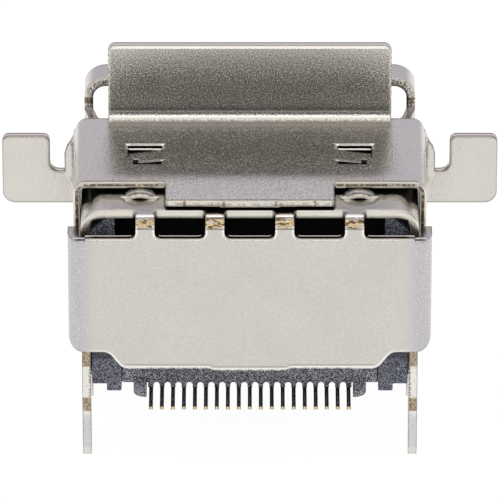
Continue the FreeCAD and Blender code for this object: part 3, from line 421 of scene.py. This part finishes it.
def highlight_and_stain_bridges(at, finish):
    """A painted highlight as a bright crown on each bridge's bend, and gold and brown wrinkles below it.
    """
    bend = at.side.within(BRIDGE_SIDE) * at.ahead.within(BRIDGE_AHEAD) * at.z.within(BRIDGE_BEND_Z)
    wrinkled = bend * at.z.within(WRINKLE_FOOT_Z) * at.z.within(WRINKLE_HEAD_Z)
    drawn_out = finish.graph.stretched(at.point, WRINKLE_STRETCH)
    wrinkle = finish.graph.noise(drawn_out, WRINKLE_SIZE, detail=2.0, roughness=0.6)
    # Painted highlight along the top of each bend
    finish.coat(bend * at.z.within(BRIDGE_HIGHLIGHT_Z), NICKEL_BRIGHT, strength=0.75)
    finish.coat(wrinkled * wrinkle.ramp(*GOLD_PATCHES), GOLD_STAIN, strength=0.80)
    finish.coat(wrinkled * wrinkle.ramp(*BROWN_CREASES), BROWN_STAIN_AND_SHADE)
    finish.emboss(wrinkled * wrinkle * WRINKLE_HEIGHT)


# Main shell, the lids of the two eye-shaped dimples
DIMPLE_X = 4.95 * MM
DIMPLE_TOP_Z = 10.03 * MM
DIMPLE_RADIUS = 1.066 * MM
LID_AHEAD = Zone(1.94, 1.98, 0.01)
LID_Z = Zone(9.80, None, 0.04)
LID_BACK = Zone(None, 0.11, 0.06)
LID_SPOTS = (0.48, 0.60)


def shade_dimple_lids(at, finish):
    """Painted highlight on the lid's cut face round the hollow, painted shade along its back, and brown
    spots.
    """
    lid = at.ahead.within(LID_AHEAD) * at.z.within(LID_Z)
    crown = DIMPLE_TOP_Z - (at.side - DIMPLE_X) ** 2 / (2.0 * DIMPLE_RADIUS)
    # Painted highlight over the lid, then painted shade along its back
    finish.coat(lid, NICKEL_BRIGHT, strength=0.85)
    finish.coat(lid * (crown - at.z).within(LID_BACK), NICKEL_DARK, strength=0.75)
    finish.coat(lid * at.mottle.ramp(*LID_SPOTS), BROWN_STAIN_AND_SHADE, strength=0.6)


# Main shell, the rear plate: a painted highlight along its outline, a painted highlight and a painted
# shade line along its lower edge, and painted shade on the side wraps
PLATE_AHEAD = Zone(None, 0.02, 0.03)
PLATE_LOW_Z = 1.80 * MM
PLATE_TAB_SIDE = Zone(None, 1.64, 0.22)
PLATE_TAB_DROP = 0.11 * MM
PLATE_HALO_TURN = (0.003, 0.020)
HEM_SIDE = Zone(None, 5.60, 0.15)
HEM_BRIGHT = Zone(None, 0.11, 0.04)
HEM_DARK = Zone(0.18, 0.23, 0.03)
WRAP_SIDE = Zone(7.70, None, 0.80)
WRAP_AHEAD = Zone(None, 0.70, 0.02)
WRAP_Z = Zone(2.6, 9.0, 0.5)
WRAP_SPECKS = (0.56, 0.68)


def shade_rear_plate(at, finish):
    """Painted highlights on the rolled edges, a painted shade line above the lower one, and painted shade
    on the side wraps, with bright specks.
    """
    plate = at.ahead.within(PLATE_AHEAD) * at.ny.ramp(*REARWARD)
    # Painted highlight along the plate's rolled edges
    finish.coat(plate * at.edge.ramp(*PLATE_HALO_TURN), NICKEL_BRIGHT, strength=0.9)
    above_hem = at.z - PLATE_LOW_Z + at.side.within(PLATE_TAB_SIDE) * PLATE_TAB_DROP
    hem = plate * at.side.within(HEM_SIDE)
    # Painted highlight along the lower edge, and a painted shade line just above it
    finish.coat(hem * above_hem.within(HEM_BRIGHT), NICKEL_BRIGHT, strength=0.8)
    finish.coat(hem * above_hem.within(HEM_DARK), NICKEL_DARK, strength=0.45)
    wrap = at.side.within(WRAP_SIDE) * at.ahead.within(WRAP_AHEAD) * at.z.within(WRAP_Z)
    # Painted shade on the side wraps where they bend away, with bright grain specks
    finish.coat(wrap, WRAP_GREY, strength=0.85)
    finish.coat(wrap * at.sand.ramp(*WRAP_SPECKS), NICKEL_BRIGHT, strength=0.4)


# Main shell, the mouth ring's cut edge
SPOT_SIZE = 0.10 * MM
RING_AHEAD = Zone(12.0, None, 0.5)
RING_UPPER_Z = Zone(8.5, None, 0.2)
RING_LOWER_Z = Zone(None, 8.30, 0.10)
RING_BAND_Z = Zone(8.42, 8.72, 0.03)
RING_BAND_SIDE = Zone(7.0, None, 0.2)
RING_SPOTS = (0.58, 0.65)
BAND_SPOTS = (0.30, 0.42)
RING_SPOT_HEIGHT = 5.0


def brown_ring(at, finish, spots):
    """Brown spots on the ring's bright cut edge, and one brown band across each side."""
    ring = at.ahead.within(RING_AHEAD) * at.cut
    band = at.z.within(RING_BAND_Z) * at.side.within(RING_BAND_SIDE)
    finish.coat(ring * at.z.within(RING_LOWER_Z), WRAP_GREY)
    finish.coat(ring * at.z.within(RING_UPPER_Z), CUT_BRIGHT, strength=0.9)
    browned = highest(spots.ramp(*RING_SPOTS), band * spots.ramp(*BAND_SPOTS))
    finish.coat(ring * browned, BROWN_STAIN_AND_SHADE, strength=0.88)
    finish.emboss(ring * spots * RING_SPOT_HEIGHT)


# Main shell, the legs' cut edges
LEG_SIDE = Zone(7.1, None, 0.1)
LEG_Z = Zone(None, 2.4, 0.2)
LEG_TIP_Z = Zone(None, -1.5, 0.5)
LEG_KINK_Z = Zone(-0.95, -0.35, 0.12)
LEG_ROOT_Z = Zone(1.5, None, 0.2)
LEG_PATCH_SPOTS = (0.44, 0.56)
LEG_STREAKS = (0.60, 0.70)
LEG_INNER_DEPTH = (0.66, 0.84)
LEG_INNER_Z = Zone(-0.4, None, 0.8)
LEG_MIDDLE = (0.10, 0.90, 0.05)
LEG_SPOT_HEIGHT = 4.0


def stain_legs(at, finish, spots):
    """Pale cut edges, stained at the root and the kink, and spotted along the inner side."""
    leg = at.side.within(LEG_SIDE) * at.z.within(LEG_Z) * at.cut
    patches = at.z.within(LEG_KINK_Z) + at.z.within(LEG_ROOT_Z)
    patch_spots = spots.ramp(*LEG_PATCH_SPOTS)
    streaks = spots.ramp(*LEG_STREAKS)
    inner_strip = at.deep.ramp(*LEG_INNER_DEPTH) * at.z.within(LEG_INNER_Z) * patch_spots
    rims = 1.0 - at.deep.between(*LEG_MIDDLE)
    finish.coat(leg, LEG_PALE)
    finish.coat(leg * at.z.within(LEG_TIP_Z), WRAP_GREY, strength=0.5)
    finish.coat(leg * patches, LEG_STAIN, strength=0.8)
    browned = highest(patches * patch_spots * 0.85, streaks * 0.6, inner_strip)
    finish.coat(leg * browned, BROWN_STAIN_AND_SHADE, strength=0.92)
    finish.coat(leg * rims, NICKEL_SPECK, strength=0.7)
    finish.emboss(leg * spots * LEG_SPOT_HEIGHT)


# Main shell, the upper edges of the rear plate between the bridges
SILL_AHEAD = Zone(None, 0.41, 0.01)
SILL_Z = Zone(8.0, 9.0, 0.1)
SILL_FACING = (0.85, 0.95)
SILL_BURR_AHEAD = Zone(0.36, 0.37, 0.08)
SILL_BURR_HEIGHT = 5.0
SILL_DARK_AHEAD = Zone(0.10, 0.20, 0.03)


def shade_sills(at, finish):
    """A burr along each window's sill, and a painted shade line behind it."""
    sill = at.nz.ramp(*SILL_FACING) * at.ahead.within(SILL_AHEAD) * at.z.within(SILL_Z)
    finish.emboss(sill * at.ahead.within(SILL_BURR_AHEAD) * SILL_BURR_HEIGHT)
    # Painted shade behind the burr
    finish.coat(sill * at.ahead.within(SILL_DARK_AHEAD), SHADE_BLACK, strength=0.9)


# Main shell, what the shield and the walls keep in the dark
TONGUE_SHADE_SIDE = Zone(None, 3.80, 0.13)
TONGUE_SHADE_AHEAD = Zone(1.10, None, 0.24)
SIDE_SHADE_AHEAD = Zone(2.95, None, 0.50)
SHIELD_SHADE_AHEAD = Zone(None, 7.8, 0.6)
SHELL_ROOF_Z = Zone(9.6, None, 0.2)
TUBE_SIDE = Zone(None, 7.1, 0.1)
TUBE_AHEAD = Zone(0.60, 7.0, 0.18)
TUBE_Z = Zone(None, 9.2, 0.14)


def darken_shell(at, finish):
    """Painted shade on the roof under the shield, and inside the shell's tube."""
    behind_tongue = at.side.within(TONGUE_SHADE_SIDE) * at.ahead.within(TONGUE_SHADE_AHEAD)
    under_shield = highest(behind_tongue, at.ahead.within(SIDE_SHADE_AHEAD))
    under_shield = under_shield * at.ahead.within(SHIELD_SHADE_AHEAD)
    finish.coat(under_shield * at.z.within(SHELL_ROOF_Z), SHADE_BLACK, strength=0.96)
    inside = at.side.within(TUBE_SIDE) * at.ahead.within(TUBE_AHEAD) * at.z.within(TUBE_Z)
    finish.coat(inside, SHADE_BLACK, strength=0.95)


def shell_coats(at, finish):
    """Everything that is laid on the main shell's plating."""
    highlight_and_stain_bridges(at, finish)
    shade_dimple_lids(at, finish)
    shade_rear_plate(at, finish)
    spots = finish.graph.noise(at.point, SPOT_SIZE, detail=2.0, roughness=0.6)
    brown_ring(at, finish, spots)
    stain_legs(at, finish, spots)
    shade_sills(at, finish)
    darken_shell(at, finish)


# Shield, the skin that faces the rear
SHIELD_SKIN_AHEAD = Zone(7.3, None, 0.1)


def shield_skin(ahead, _):
    """The rear-facing outside of the shield: its flange, wings and beads."""
    return ahead.within(SHIELD_SKIN_AHEAD)


# Shield, painted shade on the flange, a painted reflection of it on the roof before it, and their coarse
# grain
FLANGE_AHEAD = Zone(7.95, None, 0.10)
FLANGE_Z = Zone(10.8, None, 0.2)
FLANGE_ROUGHER_Z = Zone(14.2, None, 3.2)
FLANGE_DARKER_Z = Zone(None, 10.9, 3.4)
FLANGE_BRIGHTER_Z = Zone(14.3, None, 1.1)
ROOF_BACK_AHEAD = Zone(3.4, None, 1.1)
ROOF_FRONT_AHEAD = Zone(None, 7.7, 0.2)
ROOF_DARKEST_AHEAD = Zone(2.8, 5.0, 2.0)
PATCH_SIDE = 6.55 * MM
PATCH_FRONT_AHEAD = 7.5 * MM
PATCH_FRONT_SOFT = 0.35 * MM
PATCH_SPREAD = 0.18
PALER_SIDE = Zone(6.0, None, 3.5)
DROOP_AHEAD = Zone(None, 2.8, 0.6)
DROOP_SIDE = Zone(None, 6.15, 0.45)
ROOF_GRAIN = 0.55
DROOP_GRAIN = 0.45
DARK_SAND = (0.50, 0.36)
BRIGHT_SAND = (0.50, 0.64)
ROOT_AHEAD = Zone(7.25, 7.50, 0.30)
ROOT_Z = Zone(None, 10.4, 0.2)
ROOT_SIDE = Zone(None, 6.40, 0.12)
FOLD_AHEAD = Zone(7.62, None, 0.12)
FOLD_Z = Zone(10.42, 10.53, 0.04)


def paint_flange_shade_and_roof_reflection(at, finish):
    """Painted shade on the flange, darker towards the fold and paler to the sides, and a painted
    reflection of it on the roof before it, all speckled with grain; painted shade on the roof at the
    fold's foot, and painted highlights along the flange's top and on the fold.
    """
    flange = at.ahead.within(FLANGE_AHEAD) * at.z.within(FLANGE_Z)
    finish.roughen(flange * at.z.within(FLANGE_ROUGHER_Z) * 0.14)
    upright = at.ny.ramp(*REARWARD) * flange
    softness = PATCH_FRONT_SOFT + (PATCH_FRONT_AHEAD - at.ahead).at_least(0.0) * PATCH_SPREAD
    patch = ((PATCH_SIDE - at.side) / softness).ramp(0.0, 1.0)
    roof = at.ahead.within(ROOF_BACK_AHEAD) * at.ahead.within(ROOF_FRONT_AHEAD) * patch
    droop = at.ahead.within(DROOP_AHEAD) * at.side.within(DROOP_SIDE) * at.nz.ramp(*FLAT_UP)

    # Painted shade: darker down the flange towards the fold, paler to the sides, darkest in the roof's
    # painted reflection
    shade = 0.03 + at.z.within(FLANGE_DARKER_Z) * 0.44 - at.side.within(PALER_SIDE) * 0.12
    shade = shade + at.ahead.within(ROOF_DARKEST_AHEAD) * 0.42
    specks = highest(upright, roof * ROOF_GRAIN, droop * DROOP_GRAIN)
    finish.coat(highest(roof, upright) * shade, NICKEL_DARK)
    finish.coat(at.sand.ramp(*DARK_SAND) * specks, NICKEL_DARK, strength=0.90)
    finish.coat(at.sand.ramp(*BRIGHT_SAND) * specks, NICKEL_BRIGHT, strength=0.85)
    # Painted shade on the roof at the foot of the fold
    root = at.ahead.within(ROOT_AHEAD) * at.z.within(ROOT_Z) * at.side.within(ROOT_SIDE)
    finish.coat(root, NICKEL_DARK, strength=0.75)
    # Painted highlights along the flange's top and on the fold
    finish.coat(upright * at.z.within(FLANGE_BRIGHTER_Z), NICKEL_BRIGHT, strength=0.40)
    finish.coat(at.ahead.within(FOLD_AHEAD) * at.z.within(FOLD_Z), NICKEL_BRIGHT, strength=0.6)


# Shield, the flange's rolled top and the roof's droop, as slopes in grain depths per metre, and the
# rolled top's painted highlight per metre
ROLL_HEIGHT = 0.17 * MM
ROLL_SLOPE = 85.0 / MM
ROLL_HIGHLIGHT = 8.0 / MM
DROOP_START_AHEAD = 3.15 * MM
DROOP_EASE = 0.50 * MM
DROOP_SLOPE = 8.0 / MM


def slope_flange_top_and_roof(at, finish):
    """Leans the flange's upper edge back, lets the roof droop towards the rear, and lays a painted
    highlight along the rolled top.
    """
    roll = (at.z - (FLANGE_TOP_Z - ROLL_HEIGHT)).at_least(0.0) * at.ny.ramp(*REARWARD)
    past = (DROOP_START_AHEAD - at.ahead).at_least(0.0)
    droop = past * past / (past + DROOP_EASE) * at.nz.ramp(*UP)
    finish.emboss(roll * -ROLL_SLOPE)
    finish.emboss(droop * -DROOP_SLOPE)
    # Painted highlight along the flange's rolled top
    finish.coat(roll * ROLL_HIGHLIGHT, NICKEL_BRIGHT)


# Shield, its cut edges: the roof's rear edge, the flange's and wings' edges, and the walls' edges
TONGUE_REAR_AHEAD = 0.80 * MM
SIDE_REAR_AHEAD = 2.41 * MM
OUTER_SIDE = Zone(3.82, None, 0.02)
REAR_LINE = Zone(0.06, 0.12, 0.04)
SHEARED_AHEAD = Zone(8.00, None, 0.02)
SHEARED_MIDDLE_AHEAD = Zone(8.10, 8.20, 0.03)
SHEARED_FACING = (0.5, 0.8)
WORN_DEPTH = (0.40, 0.65, 0.12)
WORN_SPOTS = (0.46, 0.58)
OUTER_SPOTS_MORE = 0.07
INNER_NICK_SIDE = Zone(1.13, 1.22, 0.04)
OUTER_NICK_SIDE = Zone(2.88, 2.98, 0.04)
NICK_SPOTS = (0.34, 0.50)
SUNK_SIDE = Zone(1.28, 2.82, 0.03)
SUNK_DEPTH = (0.55, 0.80)
FLANK_SIDE = Zone(7.72, None, 0.12)
FLANK_DEPTH = (0.40, 0.80, 0.12)
FLANK_SPOTS = (0.36, 0.52)


def shade_and_stain_shield_edges(at, finish):
    """Painted shade as a dark line before the rear edge, brown on the sheared edges, and small nicks
    behind.
    """
    outer = at.side.within(OUTER_SIDE)
    from_edge = at.ahead - TONGUE_REAR_AHEAD - outer * (SIDE_REAR_AHEAD - TONGUE_REAR_AHEAD)
    # Painted shade: a dark line on the roof just before its rear edge
    finish.coat(from_edge.within(REAR_LINE) * at.nz.ramp(*FLAT_UP), BROWN_STAIN_AND_SHADE, strength=0.72)

    sheared = at.ahead.within(SHEARED_AHEAD) * (1.0 - abs(at.ny).ramp(*SHEARED_FACING))
    middle = at.ahead.within(SHEARED_MIDDLE_AHEAD)
    finish.coat(sheared * (1.0 - middle), BROWN_STAIN_AND_SHADE, strength=0.75)
    finish.coat(sheared * middle, CUT_BRIGHT, strength=0.5)

    wear_and_highlight = at.deep.between(*WORN_DEPTH) * (at.mottle + outer * OUTER_SPOTS_MORE).ramp(*WORN_SPOTS)
    finish.coat(at.cut * wear_and_highlight * (0.5 + outer * 0.4), BROWN_STAIN_AND_SHADE)
    nicks = at.side.within(INNER_NICK_SIDE) + at.side.within(OUTER_NICK_SIDE)
    nicks = nicks * at.mottle.ramp(*NICK_SPOTS)
    sunk = at.side.within(SUNK_SIDE) * at.deep.ramp(*SUNK_DEPTH)
    flank = at.side.within(FLANK_SIDE) * at.deep.between(*FLANK_DEPTH) * at.mottle.ramp(*FLANK_SPOTS)
    finish.coat(at.cut * highest(nicks * 0.75, sunk * 0.40, flank * 0.6), BROWN_STAIN_AND_SHADE)


# Shield, the J slots that free its two fingers
SLOT_INNER_SIDE = 3.96 * MM
SLOT_OUTER_SIDE = 5.56 * MM
SLOT_FRONT_AHEAD = 5.63 * MM
FINGER_INNER_SIDE = 3.98 * MM
FINGER_OUTER_SIDE = 5.10 * MM
FINGER_REAR_AHEAD = 4.27 * MM
FRONT_LIP = (0.16 * MM, 0.02 * MM)
FRONT_LIP_AHEAD = Zone(5.30, None, 0.10)
REAR_LIP = (0.13 * MM, 0.01 * MM)
REAR_LIP_AHEAD = Zone(4.26, None, 0.04)
LIP_DROP = 12.0
SLOT_SIDE = Zone(3.95, 5.56, 0.01)
SLOT_AHEAD = Zone(3.94, 5.64, 0.01)
SLOT_WALL_FACING = (0.6, 0.4)
SLOT_RIM_Z = Zone(10.24, None, 0.02)
BURR_AHEAD = Zone(5.6, None, 0.1)
BURR_Z = Zone(10.01, 10.07, 0.02)
BURR_WAVE = 0.06 * MM
BURR_FOOT_Z = 9.99 * MM
BURR_HEAD_Z = 10.09 * MM
BURR_SLOPE = 100.0 / MM
LEDGE_FACING = (0.8, 0.9)
UNDERSIDE_FACING = (-0.4, -0.8)
UNDERSIDE_Z = Zone(9.9, None, 0.2)


def outside_slot(at, inner_side, outer_side, front_ahead):
    """How far a place lies past a slot's inner, outer and front edges, whichever is farthest."""
    return highest(at.side - outer_side, inner_side - at.side, at.ahead - front_ahead)


def draw_slots(at, finish):
    """Painted highlights on the drawn lips and on a wavy burr in the slots, and painted shade in them and
    under the roof.
    """
    front_slot = outside_slot(at, SLOT_INNER_SIDE, SLOT_OUTER_SIDE, SLOT_FRONT_AHEAD)
    rear_slot = outside_slot(at, FINGER_INNER_SIDE, FINGER_OUTER_SIDE, FINGER_REAR_AHEAD)
    front_lip = front_slot.ramp(*FRONT_LIP) * at.ahead.within(FRONT_LIP_AHEAD)
    rear_lip = rear_slot.ramp(*REAR_LIP) * at.ahead.within(REAR_LIP_AHEAD)
    lips = highest(front_lip, rear_lip) * at.nz.ramp(*UP)
    finish.emboss(lips * -LIP_DROP)
    # Painted highlight on the lips
    finish.coat(lips, NICKEL_BRIGHT, strength=0.85)

    walls = at.side.within(SLOT_SIDE) * at.ahead.within(SLOT_AHEAD) * at.nz.ramp(*SLOT_WALL_FACING)
    wavy_z = at.z + (at.mottle - 0.5) * BURR_WAVE
    burr = wavy_z.within(BURR_Z) * at.ahead.within(BURR_AHEAD)
    ledge = wavy_z.at_least(BURR_FOOT_Z).at_most(BURR_HEAD_Z) - BURR_FOOT_Z
    finish.emboss(walls * ledge * at.ny.ramp(*LEDGE_FACING) * -BURR_SLOPE)
    # Painted highlight along the wavy burr
    finish.coat(walls * burr, CUT_BRIGHT)
    # Painted shade on the slot walls below their rims and on the roof's underside
    dark = walls * (1.0 - highest(at.z.within(SLOT_RIM_Z), burr))
    underside = at.nz.ramp(*UNDERSIDE_FACING) * at.z.within(UNDERSIDE_Z)
    finish.coat(highest(underside, dark), SHADE_BLACK, strength=0.96)


def shield_coats(at, finish):
    """Everything that is laid on the shield's plating."""
    paint_flange_shade_and_roof_reflection(at, finish)
    slope_flange_top_and_roof(at, finish)
    shade_and_stain_shield_edges(at, finish)
    draw_slots(at, finish)


# Moulded plastic: its colours, its grain, and where little light reaches it
HOUSING_DARK = (0.010, 0.011, 0.019)
HOUSING_PALE = (0.33, 0.34, 0.43)
# The comb's colours are the housing's plastic painted paler, as painted light against the shade that the
# rear plate casts on it
COMB_DARK = (0.014, 0.015, 0.024)
COMB_PALE = (0.56, 0.56, 0.63)
PLASTIC_CLOUD = (0.08, 0.08, 0.10)
FIBRE_SIZE = 0.062 * MM
FIBRE_DEPTH = 0.016 * MM
FIBRE_PATCHES = (0.44, 0.63)
PLASTIC_CLOUD_SIZE = 1.1 * MM
PLASTIC_CLOUD_PATCHES = (0.35, 0.8)
PLASTIC_EDGE = 0.05 * MM
UNDER_PLATE_AHEAD = Zone(None, 1.2, 0.3)
UNDER_PLATE_Z = Zone(1.80, 5.0, 0.18)
HOUSING_INSIDE_AHEAD = Zone(1.8, None, 0.6)
HOUSING_INSIDE_Z = Zone(3.0, None, 0.6)


def moulded_plastic(name, dark, pale):
    """Dark glass-filled plastic: a blue-grey skin with a coarse mottled grain."""
    material, graph = new_material(name)
    point, _, ahead, z = graph.position()
    fibres = graph.noise(point, FIBRE_SIZE, detail=3.0, roughness=0.65)
    cloud = graph.noise(point, PLASTIC_CLOUD_SIZE)
    skin = graph.mix(fibres.ramp(*FIBRE_PATCHES), dark, pale)
    finish = Finish(graph, skin, 0.42 + fibres * 0.25, fibres)
    finish.coat(cloud.ramp(*PLASTIC_CLOUD_PATCHES), PLASTIC_CLOUD, strength=0.3)
    # Painted shadow under the rear plate's lower edge
    finish.coat(ahead.within(UNDER_PLATE_AHEAD) * z.within(UNDER_PLATE_Z), dark, strength=0.6)
    # Painted shade deep inside the housing
    finish.coat(ahead.within(HOUSING_INSIDE_AHEAD) * z.within(HOUSING_INSIDE_Z), SHADE_BLACK)
    normal = graph.bump(finish.grain, FIBRE_DEPTH, graph.rounded_edges(PLASTIC_EDGE))
    varying = {"Base Color": finish.colour, "Roughness": finish.roughness, "Normal": normal}
    graph.surface({"Metallic": 0.0, "IOR": 1.5}, varying)
    return material


# Contacts: their plating, the painted dark reflection on the tails, and the painted highlight line along
# their middles
CONTACT_PITCH = 0.50 * MM
GOLD_PALE = (0.86, 0.67, 0.40)
GOLD_DEEP = (0.66, 0.50, 0.28)
GOLD_EDGE = (0.30, 0.21, 0.11)
TAIL_BLACK = (0.004, 0.004, 0.004)
TAIL_HIGHLIGHT = (0.26, 0.25, 0.24)
STREAK_SIZE = 0.05 * MM
STREAK_STRETCH = (1.0, 0.15, 1.0)
STREAK_DEPTH = 0.002 * MM
GOLD_STREAKS = (0.3, 0.7)
HIGHLIGHT_STREAKS = (0.45, 0.65)
CONTACT_EDGE = 0.02 * MM
END_MIDDLE = (0.065 * MM, 0.030 * MM)
TAIL_MIDDLE = (0.035 * MM, 0.012 * MM)
TAIL_AHEAD = Zone(None, 2.6, 0.3)
CUT_END_AHEAD = Zone(None, -0.5, 0.5)
CUT_END_FACING = (0.7, 0.9)
TAIL_METAL_LOSS = 0.7


def plated_contact():
    """Thin gold on the cut ends and in the mouth, painted shade on each cut end's sides, and a painted
    dark reflection on the feet's upper side with a painted highlight line along the middle.
    """
    material, graph = new_material("contact_plating")
    point, x, ahead, _ = graph.position()
    ny, _ = graph.facing()
    streaks = graph.noise(graph.stretched(point, STREAK_STRETCH), STREAK_SIZE)
    off_middle = x.from_nearest(CONTACT_PITCH)
    cut_end = ny.ramp(*CUT_END_FACING) * ahead.within(CUT_END_AHEAD)
    dark = ahead.within(TAIL_AHEAD) * (1.0 - cut_end)
    wear_and_highlight = off_middle.ramp(*TAIL_MIDDLE) * (0.12 + streaks.ramp(*HIGHLIGHT_STREAKS) * 0.5)
    gold = graph.mix(streaks.ramp(*GOLD_STREAKS), GOLD_PALE, GOLD_DEEP)
    finish = Finish(graph, gold, 0.22 + streaks * 0.12, streaks)
    # Painted shade towards each cut end's sides, leaving it bright along the middle
    finish.coat(cut_end, graph.mix(off_middle.ramp(*END_MIDDLE), GOLD_EDGE, gold))
    # Painted dark reflection on the tails' upper side, with a painted highlight line along each middle
    finish.coat(dark, graph.mix(wear_and_highlight, TAIL_BLACK, TAIL_HIGHLIGHT))
    normal = graph.bump(finish.grain, STREAK_DEPTH, graph.rounded_edges(CONTACT_EDGE))
    graph.surface({}, {"Base Color": finish.colour, "Roughness": finish.roughness,
                       "Metallic": 1.0 - dark * TAIL_METAL_LOSS, "Normal": normal})
    return material


def dress_part():
    """Each CAD piece gets its material."""
    shell = folded_sheet("shell_nickel", SHELL_SHEET, SHELL_NICKEL, shell_skin, shell_coats)
    shield = folded_sheet("shield_nickel", SHIELD_SHEET, SHIELD_NICKEL, shield_skin, shield_coats)
    dress(["inner_shell"], shell)
    dress(["outer_shield"], shield)
    dress(["housing"], moulded_plastic("moulded_insulator", HOUSING_DARK, HOUSING_PALE))
    dress(["tail_comb"], moulded_plastic("moulded_comb", COMB_DARK, COMB_PALE))
    contacts = [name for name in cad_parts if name.startswith("contact_")]
    dress(contacts, plated_contact())


def add_camera():
    """The photograph's camera, behind the socket and above it."""
    data = bpy.data.cameras.new("photo_camera")
    camera = bpy.data.objects.new("photo_camera", data)
    bpy.context.scene.collection.objects.link(camera)
    aim = Vector((0, REAR_FACE_Y, AIM_HEIGHT))
    towards = Vector((0, math.cos(CAMERA_ELEVATION), math.sin(CAMERA_ELEVATION)))
    camera.location = aim + towards * CAMERA_DISTANCE
    camera.rotation_euler = (math.pi / 2 - CAMERA_ELEVATION, 0, math.pi)
    data.sensor_width = SENSOR_WIDTH
    data.lens = SENSOR_WIDTH * PHOTO_FOCAL_PX / PHOTO_WIDTH_PX
    data.shift_x = CENTRE_OFFSET_PX / PHOTO_WIDTH_PX
    data.clip_start = CAMERA_NEAREST
    bpy.context.scene.camera = camera


def add_softbox_lamp():
    """The softbox's own light; its reflection is in the world."""
    data = bpy.data.lights.new("overhead_softbox", "AREA")
    data.shape = "RECTANGLE"
    data.size, data.size_y = LAMP_SIZE
    data.energy = LAMP_POWER
    lamp = bpy.data.objects.new("overhead_softbox", data)
    lamp.visible_glossy = False
    lamp.location = LAMP_PLACE
    aim = Vector(LAMP_AIM) - Vector(LAMP_PLACE)
    lamp.rotation_euler = aim.to_track_quat("-Z", "Y").to_euler()
    bpy.context.scene.collection.objects.link(lamp)


def add_world():
    """A pale room: a cool backdrop ahead, a softbox above the camera, and the camera's dark disc."""
    world = bpy.data.worlds.new("studio")
    world.use_nodes = True
    bpy.context.scene.world = world
    graph = Graph(world.node_tree)
    direction = graph.add("ShaderNodeTexCoord")["Generated"]
    split = graph.add("ShaderNodeSeparateXYZ", {}, {"Vector": direction})
    camera_side = split["Y"].ramp(*CAMERA_SIDE_EDGE)
    softbox = split["Z"].ramp(*SOFTBOX_LOW_EDGE) * split["Y"].ramp(*SOFTBOX_FAR_EDGE)
    towards = (0.0, math.cos(LENS_ELEVATION), math.sin(LENS_ELEVATION))
    lens = graph.along(direction, towards).ramp(math.cos(LENS_OUTER), math.cos(LENS_INNER))
    room = graph.mix(camera_side, BACKDROP_LIGHT, CAMERA_SIDE_LIGHT)
    room = graph.mix(softbox, room, SOFTBOX_LIGHT)
    room = graph.mix(lens, room, LENS_LIGHT)
    seen = graph.add("ShaderNodeLightPath")["Is Camera Ray"]
    glow = graph.add("ShaderNodeBackground", {}, {"Color": graph.mix(seen, room, WHITE), "Strength": 1.0})
    graph.add("ShaderNodeOutputWorld", {}, {"Surface": glow["Background"]})


def add_floor():
    """A plain pale floor under the legs, white to the camera and in reflections."""
    low = cad_low[2]
    mesh = bpy.data.meshes.new("floor")
    corners = [(-FLOOR_REACH, -FLOOR_REACH, low), (FLOOR_REACH, -FLOOR_REACH, low),
               (FLOOR_REACH, FLOOR_REACH, low), (-FLOOR_REACH, FLOOR_REACH, low)]
    mesh.from_pydata(corners, [], [(0, 1, 2, 3)])
    floor = bpy.data.objects.new("floor", mesh)
    bpy.context.scene.collection.objects.link(floor)
    material, graph = new_material("floor_paper")
    path = graph.add("ShaderNodeLightPath")
    rays = path["Is Camera Ray"] + path["Is Glossy Ray"] + path["Is Transmission Ray"]
    white_share = rays.at_most(1.0) * FLOOR_GLOW_SHARE
    paper = graph.add("ShaderNodeBsdfDiffuse", {}, {"Color": full(PAPER)})
    glow = graph.add("ShaderNodeEmission", {}, {"Color": full(WHITE), "Strength": FLOOR_GLOW})
    blend = graph.add("ShaderNodeMixShader", {}, {0: white_share, 1: paper["BSDF"], 2: glow["Emission"]})
    graph.add("ShaderNodeOutputMaterial", {}, {"Surface": blend["Shader"]})
    mesh.materials.append(material)


dress_part()
add_camera()
add_world()
add_floor()
add_softbox_lamp()
bpy.context.scene.view_settings.view_transform = "Standard"
